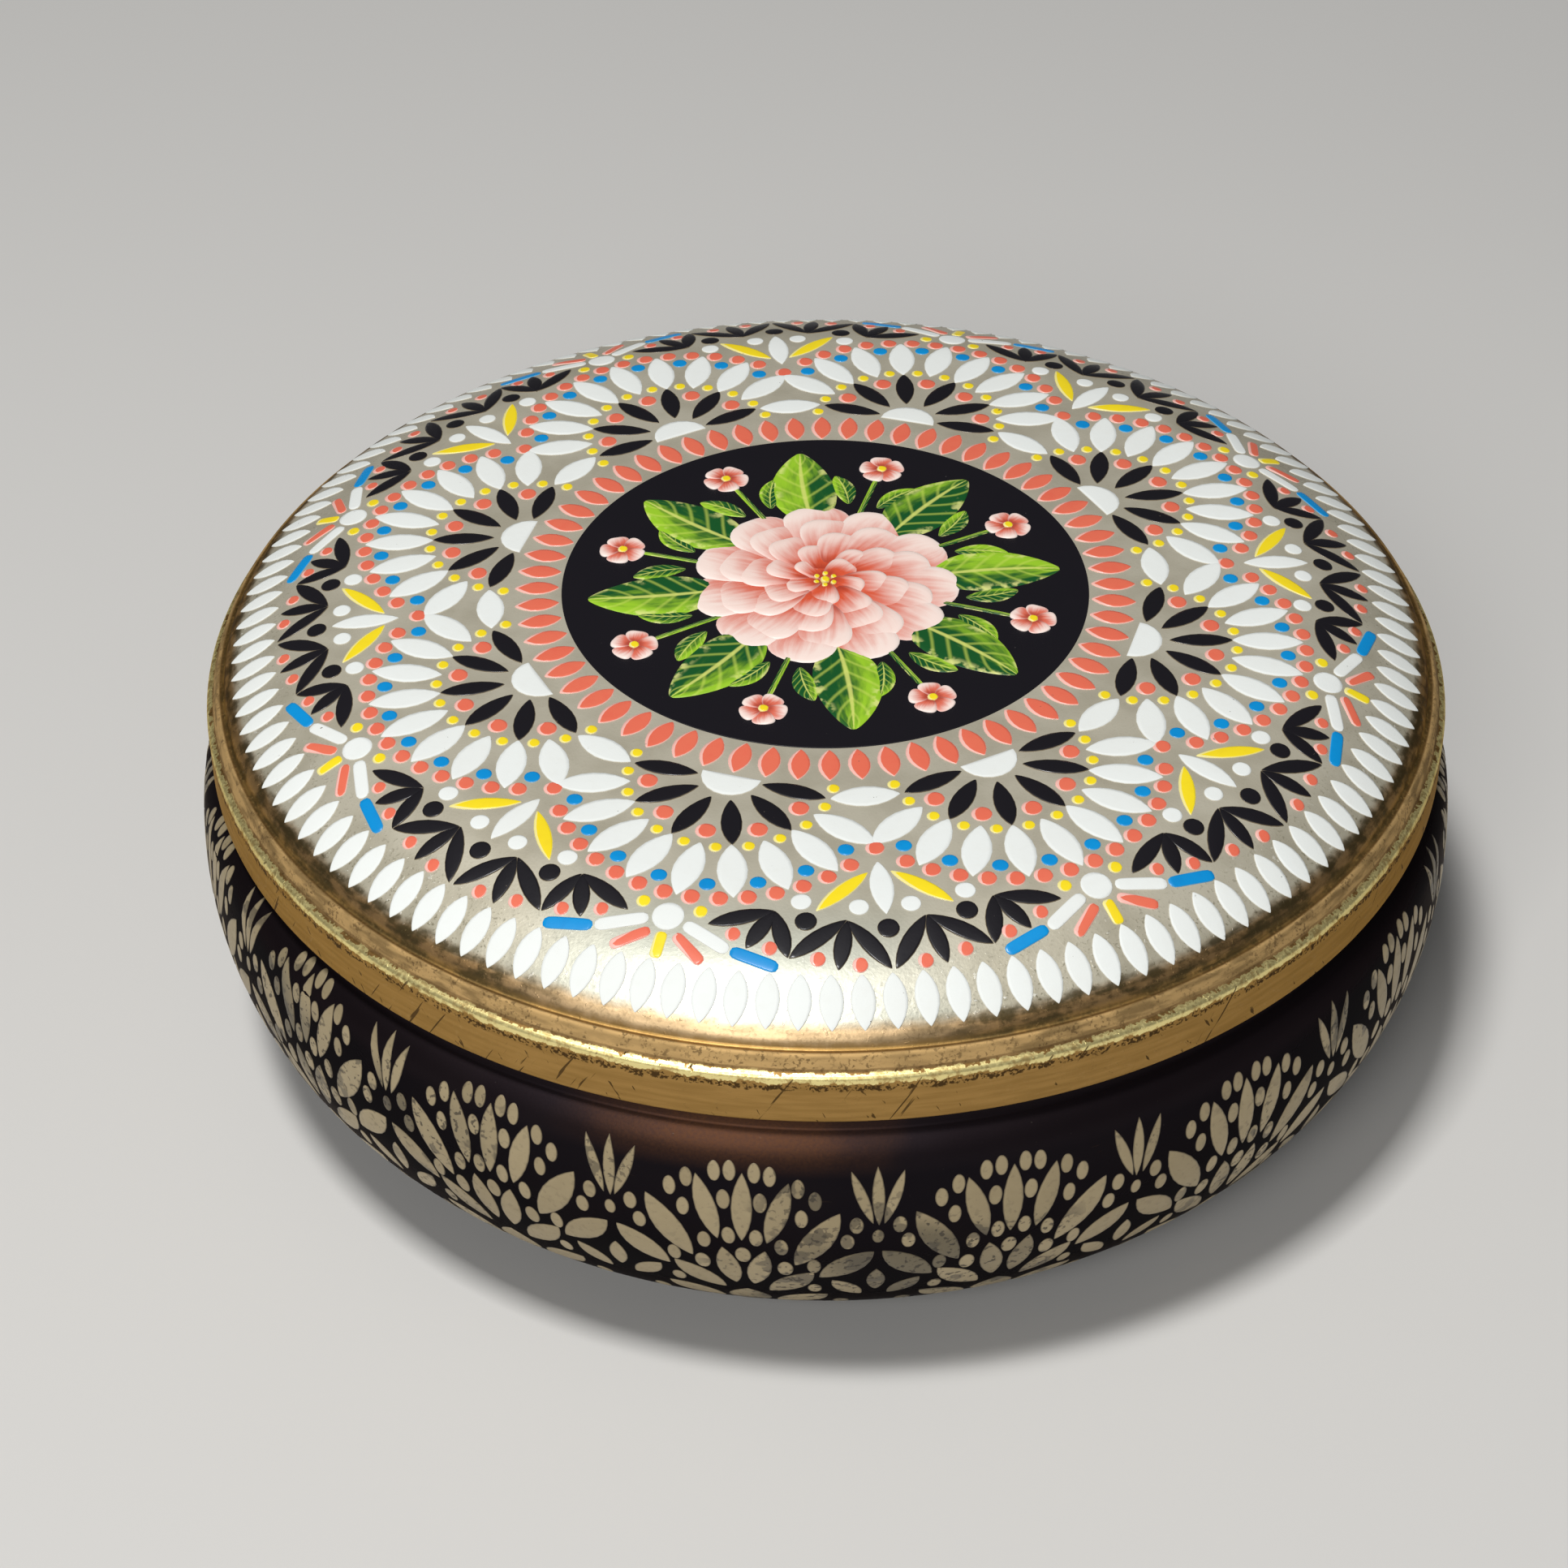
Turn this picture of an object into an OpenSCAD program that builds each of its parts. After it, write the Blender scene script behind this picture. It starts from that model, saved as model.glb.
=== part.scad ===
// Round decorative tin: a bulged drawn body and a domed slip lid over its neck.
// Millimetres, Z up, origin on the floor at the middle of the foot.

/* [Sheet] */
// Thickness of the drawn sheet
sheet = 0.3; // [0.25:0.05:0.5]

/* [Lid] */
// Radius over the skirt
lid_r = 95; // [80:0.5:110]
// Height of the crown above the skirt's lower edge
lid_h = 22; // [19:0.5:28]
// Height of the rim's ridge above the skirt's lower edge
ridge_h = 10.9; // [10:0.1:13]
// Radius of that rounded ridge
ridge_r = 0.7; // [0.6:0.1:1]
// Distance from the skirt in to the ridge's top
ridge_in = 2.3; // [2:0.1:2.6]
// Lean of the rim's sloping band from upright
band_lean = 20; // [15:1:25]
// Radius of the groove between that band and the bead
groove_r = 0.5; // [0.4:0.1:0.7]
// Radius of the small bead at the top of the skirt
bead_r = 0.9; // [0.7:0.1:1]
// Height of the bead's middle above the skirt's lower edge
bead_h = 7.5; // [6.5:0.1:8]
// Distance from the skirt in to where the dome's edge turns down
rim_w = 4.1; // [3.6:0.1:5]
// Height of the dome's edge above the rim's ridge
edge_h = 2; // [1.5:0.1:3]
// Radius of the dome's turned-down edge
edge_r = 3; // [2:0.1:4]
// Radius of the crease between the dome and the rim's ridge
crease_r = 0.6; // [0.4:0.1:1]
// Radius of the shallow crown inside the rounded brow
crown_r = 69.5; // [60:0.5:75]
// Fall of the shallow crown from its middle to that radius
crown_sag = 1.6; // [1:0.1:3]
// Thickness of the turned-in hem at the skirt's lower edge
hem_d = 1; // [0.8:0.1:1.4]

/* [Body] */
// How far the belly stands out past the lid skirt
belly_out = 2.6; // [1.5:0.1:6]
// Height of the widest part of the belly
belly_z = 36.5; // [30:0.5:41]
// Height at which the shoulder meets the neck
shoulder_z = 50.5; // [48:0.1:60]
// Largest radius of the rounded shoulder
shoulder_r = 7.5; // [4:0.1:8]
// Lean of the shoulder's face from upright where it meets the neck
shoulder_lean = 60; // [45:1:75]
// Radius at which the side would meet the floor
foot_r = 73; // [65:0.5:80]
// Radius of the rounded foot
foot_round = 4; // [2:0.5:6]
// Width of the flat ring that the tin rests on
rest_w = 5; // [3:0.5:10]
// Rise of the recessed base panel inside that ring
panel_rise = 1.6; // [0.8:0.1:3]
// Outer radius of the curl round the mouth
curl_r = 0.9; // [0.7:0.1:1.2]

/* [Clearances] */
// Gap between the neck and the lid's hem
slip_gap = 0.7; // [0.3:0.1:1]
// Height of the neck that shows between the shoulder and the lid's hem
neck_show = 2.5; // [1:0.1:4]
// Gap between the curled mouth and the underside of the rim that covers it
mouth_gap = 0.3; // [0.2:0.1:0.6]

/* [Hidden] */
$fn = 180;
arc_sag = 0.01;
side_margin = 0.5;

// Arc radius that stands upright at one end and falls in by "run" over "rise"
function side_arc(run, rise) = (run * run + rise * rise) / (2 * run);
// Shorter side of a right triangle
function leg(slant, other) = sqrt(slant * slant - other * other);
// Angle of a direction in a half-section, from the radial axis
function bearing(way) = atan2(way[1], way[0]);
// Centre of a fillet that touches circles of radius ra at a and rb at b from outside, on the upper side
function fillet_centre(a, ra, b, rb, fillet) =
    let (
        span = norm(b - a),
        way = (b - a) / span,
        upward = [-way[1], way[0]],
        along = ((ra + fillet) ^ 2 - (rb + fillet) ^ 2 + span ^ 2) / (2 * span)
    )
    a + way * along + upward * leg(ra + fillet, along);
// Points along an arc from one bearing to another, with chords that stay within arc_sag of it
function arc(centre, radius, from, to) =
    let (steps = ceil(abs(to - from) / (2 * acos(1 - arc_sag / radius))))
    [for (i = [0:steps])
        let (angle = from + (to - from) * i / steps)
        centre + radius * [cos(angle), sin(angle)]];
// The same points in the other order
function reversed(points) = [for (i = [len(points) - 1:-1:0]) points[i]];

// Lid, with its heights counted from the skirt's lower edge
lid_z = shoulder_z + neck_show;
crown_ball = side_arc(crown_sag, crown_r);
crown_centre = [0, lid_h - crown_ball];
brow_start = [crown_r, lid_h - crown_sag];
brow_end = [lid_r - rim_w, ridge_h + edge_h];
brow_chord = brow_end - brow_start;
brow_inward = (crown_centre - brow_start) / crown_ball;
brow_r = (brow_chord * brow_chord) / (2 * brow_chord * brow_inward);
brow_centre = brow_start + brow_r * brow_inward;
edge_centre = brow_end + edge_r * (brow_centre - brow_end) / brow_r;
ridge_centre = [lid_r - ridge_in, ridge_h - ridge_r];
crease_centre = fillet_centre(edge_centre, edge_r, ridge_centre, ridge_r, crease_r);
bead_centre = [lid_r - bead_r, bead_h];
// The groove's centre lies beside the band's line, at the height where its arc touches the bead
band_out = [cos(band_lean), sin(band_lean)];
band_down = [sin(band_lean), -cos(band_lean)];
groove_top = ridge_centre + (ridge_r + groove_r) * band_out;
groove_run = (bead_centre - groove_top) * band_down - leg(bead_r + groove_r, (bead_centre - groove_top) * band_out);
groove_centre = groove_top + groove_run * band_down;
hem_r = hem_d / 2;
hem_centre = [lid_r - hem_r, hem_r];

// Body
belly_r = lid_r + belly_out;
neck_r = lid_r - hem_d - slip_gap;
low_arc_r = side_arc(belly_r - foot_r, belly_z);
low_centre = [belly_r - low_arc_r, belly_z];
foot_centre = [low_centre[0] + leg(low_arc_r - foot_round, belly_z - foot_round), foot_round];
// The shoulder's arc runs from the neck to an arc that stands upright at the belly
shoulder_fit = min(shoulder_r, (belly_r - neck_r - side_margin) / (1 - cos(shoulder_lean)));
shoulder_centre = [neck_r, shoulder_z] - shoulder_fit * [cos(shoulder_lean), sin(shoulder_lean)];
shoulder_off = shoulder_centre - [belly_r, belly_z];
high_arc_r = (shoulder_fit ^ 2 - shoulder_off * shoulder_off) / (2 * (shoulder_off[0] + shoulder_fit));
high_centre = [belly_r - high_arc_r, belly_z];
panel_r = foot_centre[0] - rest_w;
// The curl stays clear of the rim's ridge above it and of the sloping band outside it
curl_in = neck_r - curl_r;
curl_clear = ridge_r - sheet - mouth_gap - curl_r;
curl_rise = (curl_clear - (curl_in - ridge_centre[0]) * band_out[0]) / band_out[1];
curl_centre = [curl_in, lid_z + ridge_centre[1] + min(curl_clear, curl_rise)];

// Outer face of the lid from the crown to the skirt, or its inner face for an inset of one sheet
function lid_face(inset) =
    let (
        brow_from = bearing(brow_start - crown_centre),
        edge_from = bearing(brow_end - brow_centre),
        crease_from = bearing(crease_centre - edge_centre),
        ridge_from = bearing(crease_centre - ridge_centre),
        bead_from = bearing(groove_centre - bead_centre)
    )
    concat(
        arc(crown_centre, crown_ball - inset, 90, brow_from),
        arc(brow_centre, brow_r - inset, brow_from, edge_from),
        arc(edge_centre, edge_r - inset, edge_from, crease_from),
        arc(crease_centre, crease_r + inset, crease_from + 180, ridge_from + 180),
        arc(ridge_centre, ridge_r - inset, ridge_from, band_lean),
        arc(groove_centre, groove_r + inset, band_lean + 180, bead_from + 180),
        arc(bead_centre, bead_r - inset, bead_from, 0)
    );

// Hem rolled inward from the skirt's lower edge until it meets the skirt's inner face
function hem_face() = arc(hem_centre, hem_r, 0, acos((hem_r - sheet) / hem_r) - 360);

// Outer face of the body from the base's middle to the neck, or its inner face for an inset of one sheet
function body_face(inset) =
    let (
        rise = panel_rise + inset,
        panel_reach = panel_r + inset * sqrt(2),
        low_from = bearing(foot_centre - low_centre),
        shoulder_from = bearing(shoulder_centre - high_centre),
        neck_in = neck_r - inset - shoulder_centre[0],
        shoulder_to = acos(neck_in / (shoulder_fit - inset))
    )
    concat(
        [[0, rise], [panel_reach - rise, rise], [panel_reach - inset, inset]],
        arc(foot_centre, foot_round - inset, -90, low_from),
        arc(low_centre, low_arc_r - inset, low_from, 0),
        arc(high_centre, high_arc_r - inset, 0, shoulder_from),
        arc(shoulder_centre, shoulder_fit - inset, shoulder_from, shoulder_to)
    );

// Open curl that turns the mouth's raw edge inward and down
function mouth_face() = concat(
    arc(curl_centre, curl_r, 0, 270),
    arc(curl_centre, curl_r - sheet, 270, 0)
);

// Drawn body with its recessed base, bulged side, neck and curled mouth
module body() {
    color("#26232a")
        rotate_extrude()
            polygon(concat(body_face(0), mouth_face(), reversed(body_face(sheet))));
}

// Domed slip lid with its stepped rim, skirt and turned-in hem
module lid() {
    color("#b8a77a")
        translate([0, 0, lid_z])
            rotate_extrude()
                polygon(concat(lid_face(0), hem_face(), reversed(lid_face(sheet))));
}

body();
lid();
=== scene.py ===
"""Dresses the packed round tin: turned sheet, raised enamel, a painted flower and printed petals.

Lengths are metres in the frame of the packed part, Z up. Ornament is drawn in millimetres and scaled once.
"""

import math
from collections import namedtuple

import bmesh
import bpy
from bpy.props import FloatProperty, FloatVectorProperty, IntProperty, PointerProperty
from mathutils import Matrix, Vector


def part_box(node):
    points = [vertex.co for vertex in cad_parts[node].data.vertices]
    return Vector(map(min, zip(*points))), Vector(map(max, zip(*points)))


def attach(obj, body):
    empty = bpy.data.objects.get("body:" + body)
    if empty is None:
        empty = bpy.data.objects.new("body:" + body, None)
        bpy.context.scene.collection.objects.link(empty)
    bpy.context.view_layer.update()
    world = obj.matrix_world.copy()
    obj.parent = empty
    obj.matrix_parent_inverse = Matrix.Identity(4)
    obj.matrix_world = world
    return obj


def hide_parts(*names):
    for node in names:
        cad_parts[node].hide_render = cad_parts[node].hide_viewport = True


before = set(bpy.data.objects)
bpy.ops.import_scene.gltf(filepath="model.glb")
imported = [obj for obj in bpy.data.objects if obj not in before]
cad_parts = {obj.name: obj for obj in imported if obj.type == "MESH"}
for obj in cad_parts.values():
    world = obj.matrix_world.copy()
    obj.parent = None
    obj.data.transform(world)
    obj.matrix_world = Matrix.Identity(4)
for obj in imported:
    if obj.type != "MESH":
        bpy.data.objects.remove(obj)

bl_info = {
    "name": "Round decorative tin",
    "version": (1, 0, 0),
    "blender": (4, 5, 0),
    "location": "View3D > Sidebar > Tin",
    "description": "Builds the looks of a round slip-lid tin on its packed frame",
    "category": "Object",
}

MM = 0.001
FULL_TURN = math.tau
QUARTER_TURN = math.pi / 2
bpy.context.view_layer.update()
LID_LOW, LID_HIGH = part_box("lid")
_, BODY_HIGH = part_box("body")
# Thickness of the drawn sheet, and the steps round a turned piece
SHEET = 0.3 * MM
STEPS = 256
# Bearing of the front side, where the painted highlights and sheen lie
HIGHLIGHT_BEARING = math.radians(-98)


# Properties

def linear(red, green, blue):
    """Scene-linear colour of an sRGB colour given from 0 to 255."""
    shares = [value / 255 for value in (red, green, blue)]
    return [s / 12.92 if s <= 0.04045 else ((s + 0.055) / 1.055) ** 2.4 for s in shares]


def amount(name, description, number, unit="NONE"):
    """A number of zero or more that a user may change."""
    return FloatProperty(name=name, description=description, default=number, min=0, precision=5, unit=unit)


def length(name, description, metres):
    """A length that a user may change."""
    return amount(name, description, metres, "LENGTH")


def angle(name, description, degrees):
    """An angle that a user may change."""
    return FloatProperty(name=name, description=description, default=math.radians(degrees), unit="ROTATION")


def count(name, description, number, least):
    """A whole number that a user may change."""
    return IntProperty(name=name, description=description, default=number, min=least)


def spot(name, description, *place):
    """A place that a user may change."""
    return FloatVectorProperty(
        name=name, description=description, default=place, subtype="XYZ", unit="LENGTH"
    )


def paint(name, description, *srgb):
    """A colour that a user may change, written in sRGB."""
    return FloatVectorProperty(
        name=name, description=description, default=linear(*srgb), min=0, max=1, subtype="COLOR"
    )


class TinLid(bpy.types.PropertyGroup):
    """Sizes of the lid's drawn sheet."""

    radius: length("Radius", "Radius over the skirt", LID_HIGH.x)
    base: length("Base", "Height of the skirt's lower edge", LID_LOW.z)
    height: length("Height", "Crown above the skirt's lower edge", LID_HIGH.z - LID_LOW.z)
    sheet: length("Sheet", "Thickness of the drawn sheet", SHEET)
    ridge_height: length("Ridge height", "Rim's ridge above the skirt's lower edge", 10.9 * MM)
    ridge: length("Ridge", "Radius of the rim's ridge", 0.7 * MM)
    ridge_in: length("Ridge in", "Skirt to the top of the ridge", 2.3 * MM)
    band_lean: angle("Band lean", "Lean of the rim's sloping band from upright", 20)
    groove: length("Groove", "Radius of the groove between the band and the bead", 0.5 * MM)
    bead: length("Bead", "Radius of the small bead at the top of the skirt", 0.9 * MM)
    bead_height: length("Bead height", "Bead's middle above the skirt's lower edge", 7.5 * MM)
    rim: length("Rim", "Skirt to where the dome's edge turns down", 4.1 * MM)
    edge_height: length("Edge height", "Dome's edge above the rim's ridge", 2 * MM)
    edge: length("Edge", "Radius of the dome's turned-down edge", 3 * MM)
    crease: length("Crease", "Radius of the crease beside the ridge", 0.6 * MM)
    crown: length("Crown", "Radius of the shallow crown", 69.5 * MM)
    crown_sag: length("Crown sag", "Fall of the crown to that radius", 1.6 * MM)
    hem: length("Hem", "Thickness of the turned-in hem", 1 * MM)
    steps: count("Steps", "Steps round the turned sheet", STEPS, 32)


class TinBody(bpy.types.PropertyGroup):
    """Sizes of the body's drawn sheet."""

    belly: length("Belly", "Radius of the belly", BODY_HIGH.x)
    belly_height: length("Belly height", "Height of the widest part", 36.5 * MM)
    top: length("Top", "Height of the curled mouth", BODY_HIGH.z)
    sheet: length("Sheet", "Thickness of the drawn sheet", SHEET)
    shoulder_height: length("Shoulder height", "Height at which the shoulder meets the neck", 50.5 * MM)
    shoulder: length("Shoulder", "Radius of the rounded shoulder", 7.5 * MM)
    shoulder_lean: angle("Shoulder lean", "Lean of the shoulder from upright at the neck", 60)
    foot_reach: length("Foot reach", "Radius at which the side would meet the floor", 73 * MM)
    foot: length("Foot", "Radius of the rounded foot", 4 * MM)
    rest: length("Rest", "Width of the ring that the tin stands on", 5 * MM)
    panel_rise: length("Panel rise", "Rise of the base panel", 1.6 * MM)
    neck: length("Neck", "Radius of the neck", 93.3 * MM)
    print_top: length("Print top", "Height at which the black print ends on the neck", 55 * MM)
    curl: length("Curl", "Radius of the curled mouth", 0.9 * MM)
    steps: count("Steps", "Steps round the turned sheet", STEPS, 32)


class TinOrnament(bpy.types.PropertyGroup):
    """Sizes of the ornament."""

    lid_turn: angle("Lid turn", "Bearing of the lid's first fan", 28.98)
    border_turn: angle("Border turn", "Bearing of the lid border's first petal", 29.69)
    body_turn: angle("Body turn", "Bearing of the body's first sprig", -84.84)
    print_drift: length("Print drift", "Most that the drift lowers the body's print", 9.45 * MM)
    drift_bearing: angle("Drift bearing", "Bearing at which the body's print stands highest", 109.08)
    drift_slip: angle("Drift slip", "Most that the drift turns the print round the body", 3.0252)
    drift_least: length("Drift least", "Least that the drift lowers the body's print", 3.8 * MM)
    enamel_rise: length("Enamel rise", "Height of the raised enamel", 0.12 * MM)
    print_rise: length("Print rise", "Height of the body's printed petals", 0.05 * MM)
    paint_rise: length("Paint rise", "Height of one layer of the painted flower", 0.1 * MM)
    medallion: length("Medallion", "Radius of the black medallion", 40.1 * MM)
    medallion_rise: length("Medallion rise", "Height of the medallion over the dome", 0.1 * MM)
    fans: count("Fans", "Fans round the lid", 8, 3)
    ring_petals: count("Ring petals", "Petals round the medallion", 64, 8)
    border_petals: count("Border petals", "Petals in the lid's border", 127, 8)
    body_fans: count("Body fans", "Fans round the body", 17, 3)


class TinColours(bpy.types.PropertyGroup):
    """Colours of the tin's finishes and its stage."""

    white: paint("White", "White enamel", 235, 238, 234)
    black: paint("Black", "Black enamel", 21, 18, 24)
    coral: paint("Coral", "Coral enamel", 234, 116, 89)
    pink: paint("Pink", "Pale rim of the coral enamel", 246, 190, 178)
    yellow: paint("Yellow", "Yellow enamel", 251, 225, 34)
    blue: paint("Blue", "Blue enamel", 0, 147, 217)
    champagne: paint("Champagne", "Metal ground between the enamels", 219, 212, 191)
    gold: paint("Gold", "Gold lacquer of the rim", 183, 145, 85)
    grime: paint("Grime", "Dirt in the creases", 62, 42, 22)
    lacquer: paint("Lacquer", "Lacquer inside the tin", 214, 184, 110)
    bare: paint("Bare metal", "Metal where the finish has worn off", 205, 196, 176)
    body_black: paint("Body black", "Black print of the body", 27, 24, 29)
    # Painted highlight: warm colour of the lamp's highlight on the front of the body's shoulder
    body_sheen: paint("Body sheen", "Warm metal under print that is rubbed thin", 84, 56, 40)
    body_petal: paint("Body petal", "Petals printed on the body", 182, 165, 130)
    petal_pale: paint("Petal pale", "Outer part of the painted petals", 255, 232, 221)
    petal_deep: paint("Petal deep", "Depth of the painted petals", 222, 88, 54)
    leaf_dark: paint("Leaf dark", "Shaded part of the painted leaves", 14, 84, 34)
    leaf_light: paint("Leaf light", "Lit part of the painted leaves", 158, 206, 44)
    floor: paint("Floor", "Plain pale floor", 216, 214, 210)
    room: paint("Room", "Even light of the room", 236, 240, 246)


class TinStage(bpy.types.PropertyGroup):
    """The photograph's viewing angle and a soft studio light."""

    distance: length("Distance", "Camera from the middle of the skirt", 560.7 * MM)
    elevation: angle("Elevation", "Camera above the horizon", 37.38)
    pan: angle("Pan", "Turn of the view to the left", 0.65)
    tilt: angle("Tilt", "Turn of the view downward", 1.38)
    roll: angle("Roll", "Turn of the view about its own line", 0.10)
    lens: amount("Lens", "Focal length", 82.43, "CAMERA")
    sensor: amount("Sensor", "Width of the sensor", 36, "CAMERA")
    near: length("Near", "Nearest distance that the camera sees", 0.01)
    key_place: spot("Key", "Place of the key lamp", -0.24, -0.34, 1.45)
    key_size: length("Key size", "Side of the key lamp", 0.24)
    key_power: amount("Key power", "Power of the key lamp", 15.2, "POWER")
    fill_place: spot("Fill", "Place of the fill lamp", -0.3, -1.1, 0.85)
    fill_size: length("Fill size", "Side of the fill lamp", 0.5)
    fill_power: amount("Fill power", "Power of the fill lamp", 7, "POWER")
    room: amount("Room", "Level of the room's light", 0.08)
    room_seen: amount("Room seen", "Level of the room where the camera sees it", 0.8)
    floor_half: length("Floor half", "Half the side of the floor", 12)


# Nodes

def find_socket(sockets, key):
    """The socket at an index, or the one in use with a name or identifier."""
    if isinstance(key, int):
        return sockets[key]
    used = [s for s in sockets if s.enabled and key in (s.name, s.identifier)]
    if not used:
        raise KeyError(f"no socket {key!r} among {[s.name for s in sockets]}")
    return used[0]


def maths(operation, reflected=False):
    """A method that adds one Math node, with the wire itself last where the operation is reflected."""

    def method(wire, *others):
        values = (*others, wire) if reflected else (wire, *others)
        return wire.nodes.add("ShaderNodeMath", {"operation": operation}, dict(enumerate(values)))

    return method


class Wire:
    """An output in a node tree. Sums on it add Math nodes to that tree."""

    def __init__(self, nodes, socket):
        self.nodes = nodes
        self.socket = socket

    def __getitem__(self, name):
        return Wire(self.nodes, find_socket(self.socket.node.outputs, name))

    __add__ = maths("ADD")
    __radd__ = maths("ADD", reflected=True)
    __sub__ = maths("SUBTRACT")
    __rsub__ = maths("SUBTRACT", reflected=True)
    __mul__ = maths("MULTIPLY")
    __rmul__ = maths("MULTIPLY", reflected=True)
    __truediv__ = maths("DIVIDE")
    __pow__ = maths("POWER")
    __abs__ = maths("ABSOLUTE")
    root = maths("SQRT")
    sine = maths("SINE")
    cosine = maths("COSINE")
    nearest = maths("ROUND")
    least = maths("MINIMUM")
    most = maths("MAXIMUM")
    above = maths("GREATER_THAN")
    angle_over = maths("ARCTAN2")

    def ramp(self, low, high):
        """Rises smoothly from 0 at low to 1 at high."""
        return self.nodes.add(
            "ShaderNodeMapRange",
            {"interpolation_type": "SMOOTHSTEP"},
            {"Value": self, "From Min": low, "From Max": high},
        )

    def band(self, low, high, soft):
        """1 between two values, fading to 0 over a soft edge outside them."""
        return self.ramp(low - soft, low) * (1 - self.ramp(high, high + soft))

    def parts(self):
        """The three parts of a vector."""
        split = self.nodes.add("ShaderNodeSeparateXYZ", {}, {0: self})
        return split["X"], split["Y"], split["Z"]


class Nodes:
    """A node tree that is being built."""

    def __init__(self, tree):
        self.tree = tree

    def add(self, kind, settings=None, sockets=None):
        """Adds a node, makes its settings, then sets or links its sockets. Gives its first output in use."""
        node = self.tree.nodes.new(kind)
        for name, value in (settings or {}).items():
            setattr(node, name, value)
        for key, value in (sockets or {}).items():
            socket = find_socket(node.inputs, key)
            if isinstance(value, Wire):
                self.tree.links.new(value.socket, socket)
            elif socket.type == "RGBA":
                socket.default_value = (*value[:3], 1)
            else:
                socket.default_value = value
        used = [s for s in node.outputs if s.enabled]
        return Wire(self, used[0]) if used else None

    def vector(self, x, y, z):
        return self.add("ShaderNodeCombineXYZ", {}, {"X": x, "Y": y, "Z": z})

    def vector_math(self, operation, sockets):
        return self.add("ShaderNodeVectorMath", {"operation": operation}, sockets)

    def turn(self, vector, about_z):
        settings = {"rotation_type": "Z_AXIS"}
        return self.add("ShaderNodeVectorRotate", settings, {"Vector": vector, "Angle": about_z})

    def mix(self, share, first, second):
        """A colour that goes from the first to the second as the share goes from 0 to 1."""
        return self.add("ShaderNodeMix", {"data_type": "RGBA"}, {"Factor": share, "A": first, "B": second})

    def coats(self, shade, *coats):
        """A colour under coats of other colours, each given as its share and its colour."""
        for share, colour in coats:
            shade = self.mix(share, shade, colour)
        return shade

    def place(self):
        """Object coordinates, which are the part's own frame in metres."""
        return self.add("ShaderNodeTexCoord")["Object"]

    def attribute(self, name, part="Fac"):
        return self.add("ShaderNodeAttribute", {"attribute_name": name})[part]

    def noise(self, vector, grain, detail=2.0):
        """Soft noise from 0 to 1 with features of about the grain's size in metres."""
        return self.add("ShaderNodeTexNoise", {}, {"Vector": vector, "Scale": 1 / grain, "Detail": detail})

    def bump(self, height, depth):
        return self.add("ShaderNodeBump", {}, {"Height": height, "Distance": depth, "Strength": 1.0})


def as_material(wired):
    """Decorates a function that wires a shader's sockets, so that a call by name gives a new material."""

    def make(name, *given):
        material = bpy.data.materials.new(name)
        material.use_nodes = True
        material.node_tree.nodes.clear()
        nodes = Nodes(material.node_tree)
        shader = nodes.add("ShaderNodeBsdfPrincipled", {}, wired(nodes, *given))
        nodes.add("ShaderNodeOutputMaterial", {}, {"Surface": shader})
        return material

    return make


# Materials

def toward_highlight(round_angle):
    """1 on the side of the painted highlights, falling as the cosine of the angle away from it."""
    return (round_angle - HIGHLIGHT_BEARING).cosine()


@as_material
def enamel(nodes, colour, rim_colour, rim_width, dull_colour, slip_width, gloss):
    """Flat printed enamel with nicks, a pale crescent where the colour has slipped, and a thin rim: painted
    shade on white and a painted glint on black.
    """
    place = nodes.place()
    tone = nodes.attribute("tone")
    mottle = nodes.noise(place, 1.6 * MM, 3)
    fine = nodes.noise(place, 0.35 * MM)
    ragged = nodes.attribute("edge") + (mottle - 0.5) * 0.5 * rim_width
    rim_band = rim_width + nodes.attribute("west").ramp(0.0, 0.8) * slip_width
    inner = (ragged - rim_band).ramp(-0.06 * MM, 0.04 * MM)
    inside = nodes.mix(tone * 0.3 + mottle.ramp(0.45, 0.75) * 0.25, colour, dull_colour)
    nick = nodes.noise(place, 0.9 * MM, 4).ramp(0.72, 0.75) * tone.ramp(0.6, 0.8)
    return {
        "Base Color": nodes.coats(rim_colour, (inner, inside), (nick * 0.8, linear(96, 88, 76))),
        "Roughness": 0.45 + mottle * 0.1 + nick * 0.2,
        "Specular IOR Level": 0.08 + gloss * 0.55,
        "Coat Weight": gloss,
        "Coat Roughness": 0.2,
        "Normal": nodes.bump(mottle + fine * 0.35, 0.02 * MM),
    }


LidPlace = namedtuple(
    "LidPlace", "place reach height run cloud grain blotch streak smear uneven outward frontal"
)
RimParts = namedtuple("RimParts", "edge band crease groove bead skirt")


def lid_place(nodes, lid):
    """Where a point of the lid is, with the noises and fades that its ground and its rim share."""
    place = nodes.place()
    x, y, z = place.parts()
    reach = (x * x + y * y).root()
    round_angle = y.angle_over(x)
    cloud = nodes.noise(place, 9 * MM, 3)
    grain = nodes.noise(place, 0.5 * MM, 3)
    blotch = nodes.noise(place, 2.2 * MM, 4)
    streak = nodes.noise(nodes.vector(reach, z, round_angle * (9 * MM)), 0.8 * MM, 3)
    smear = nodes.noise(nodes.vector(reach, z, round_angle * (22 * MM)), 1.3 * MM, 4)
    uneven = (grain - 0.5) * (0.5 * MM) + (blotch - 0.5) * (0.9 * MM)
    outward = reach.ramp(0.82 * lid.radius, 0.95 * lid.radius)
    # The front where the painted highlights lie, with less dirt painted there
    frontal = (toward_highlight(round_angle) + (cloud - 0.5) * 0.05).ramp(0.91, 0.995)
    height = z - lid.base
    run = round_angle * lid.radius
    return LidPlace(place, reach, height, run, cloud, grain, blotch, streak, smear, uneven, outward, frontal)


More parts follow.
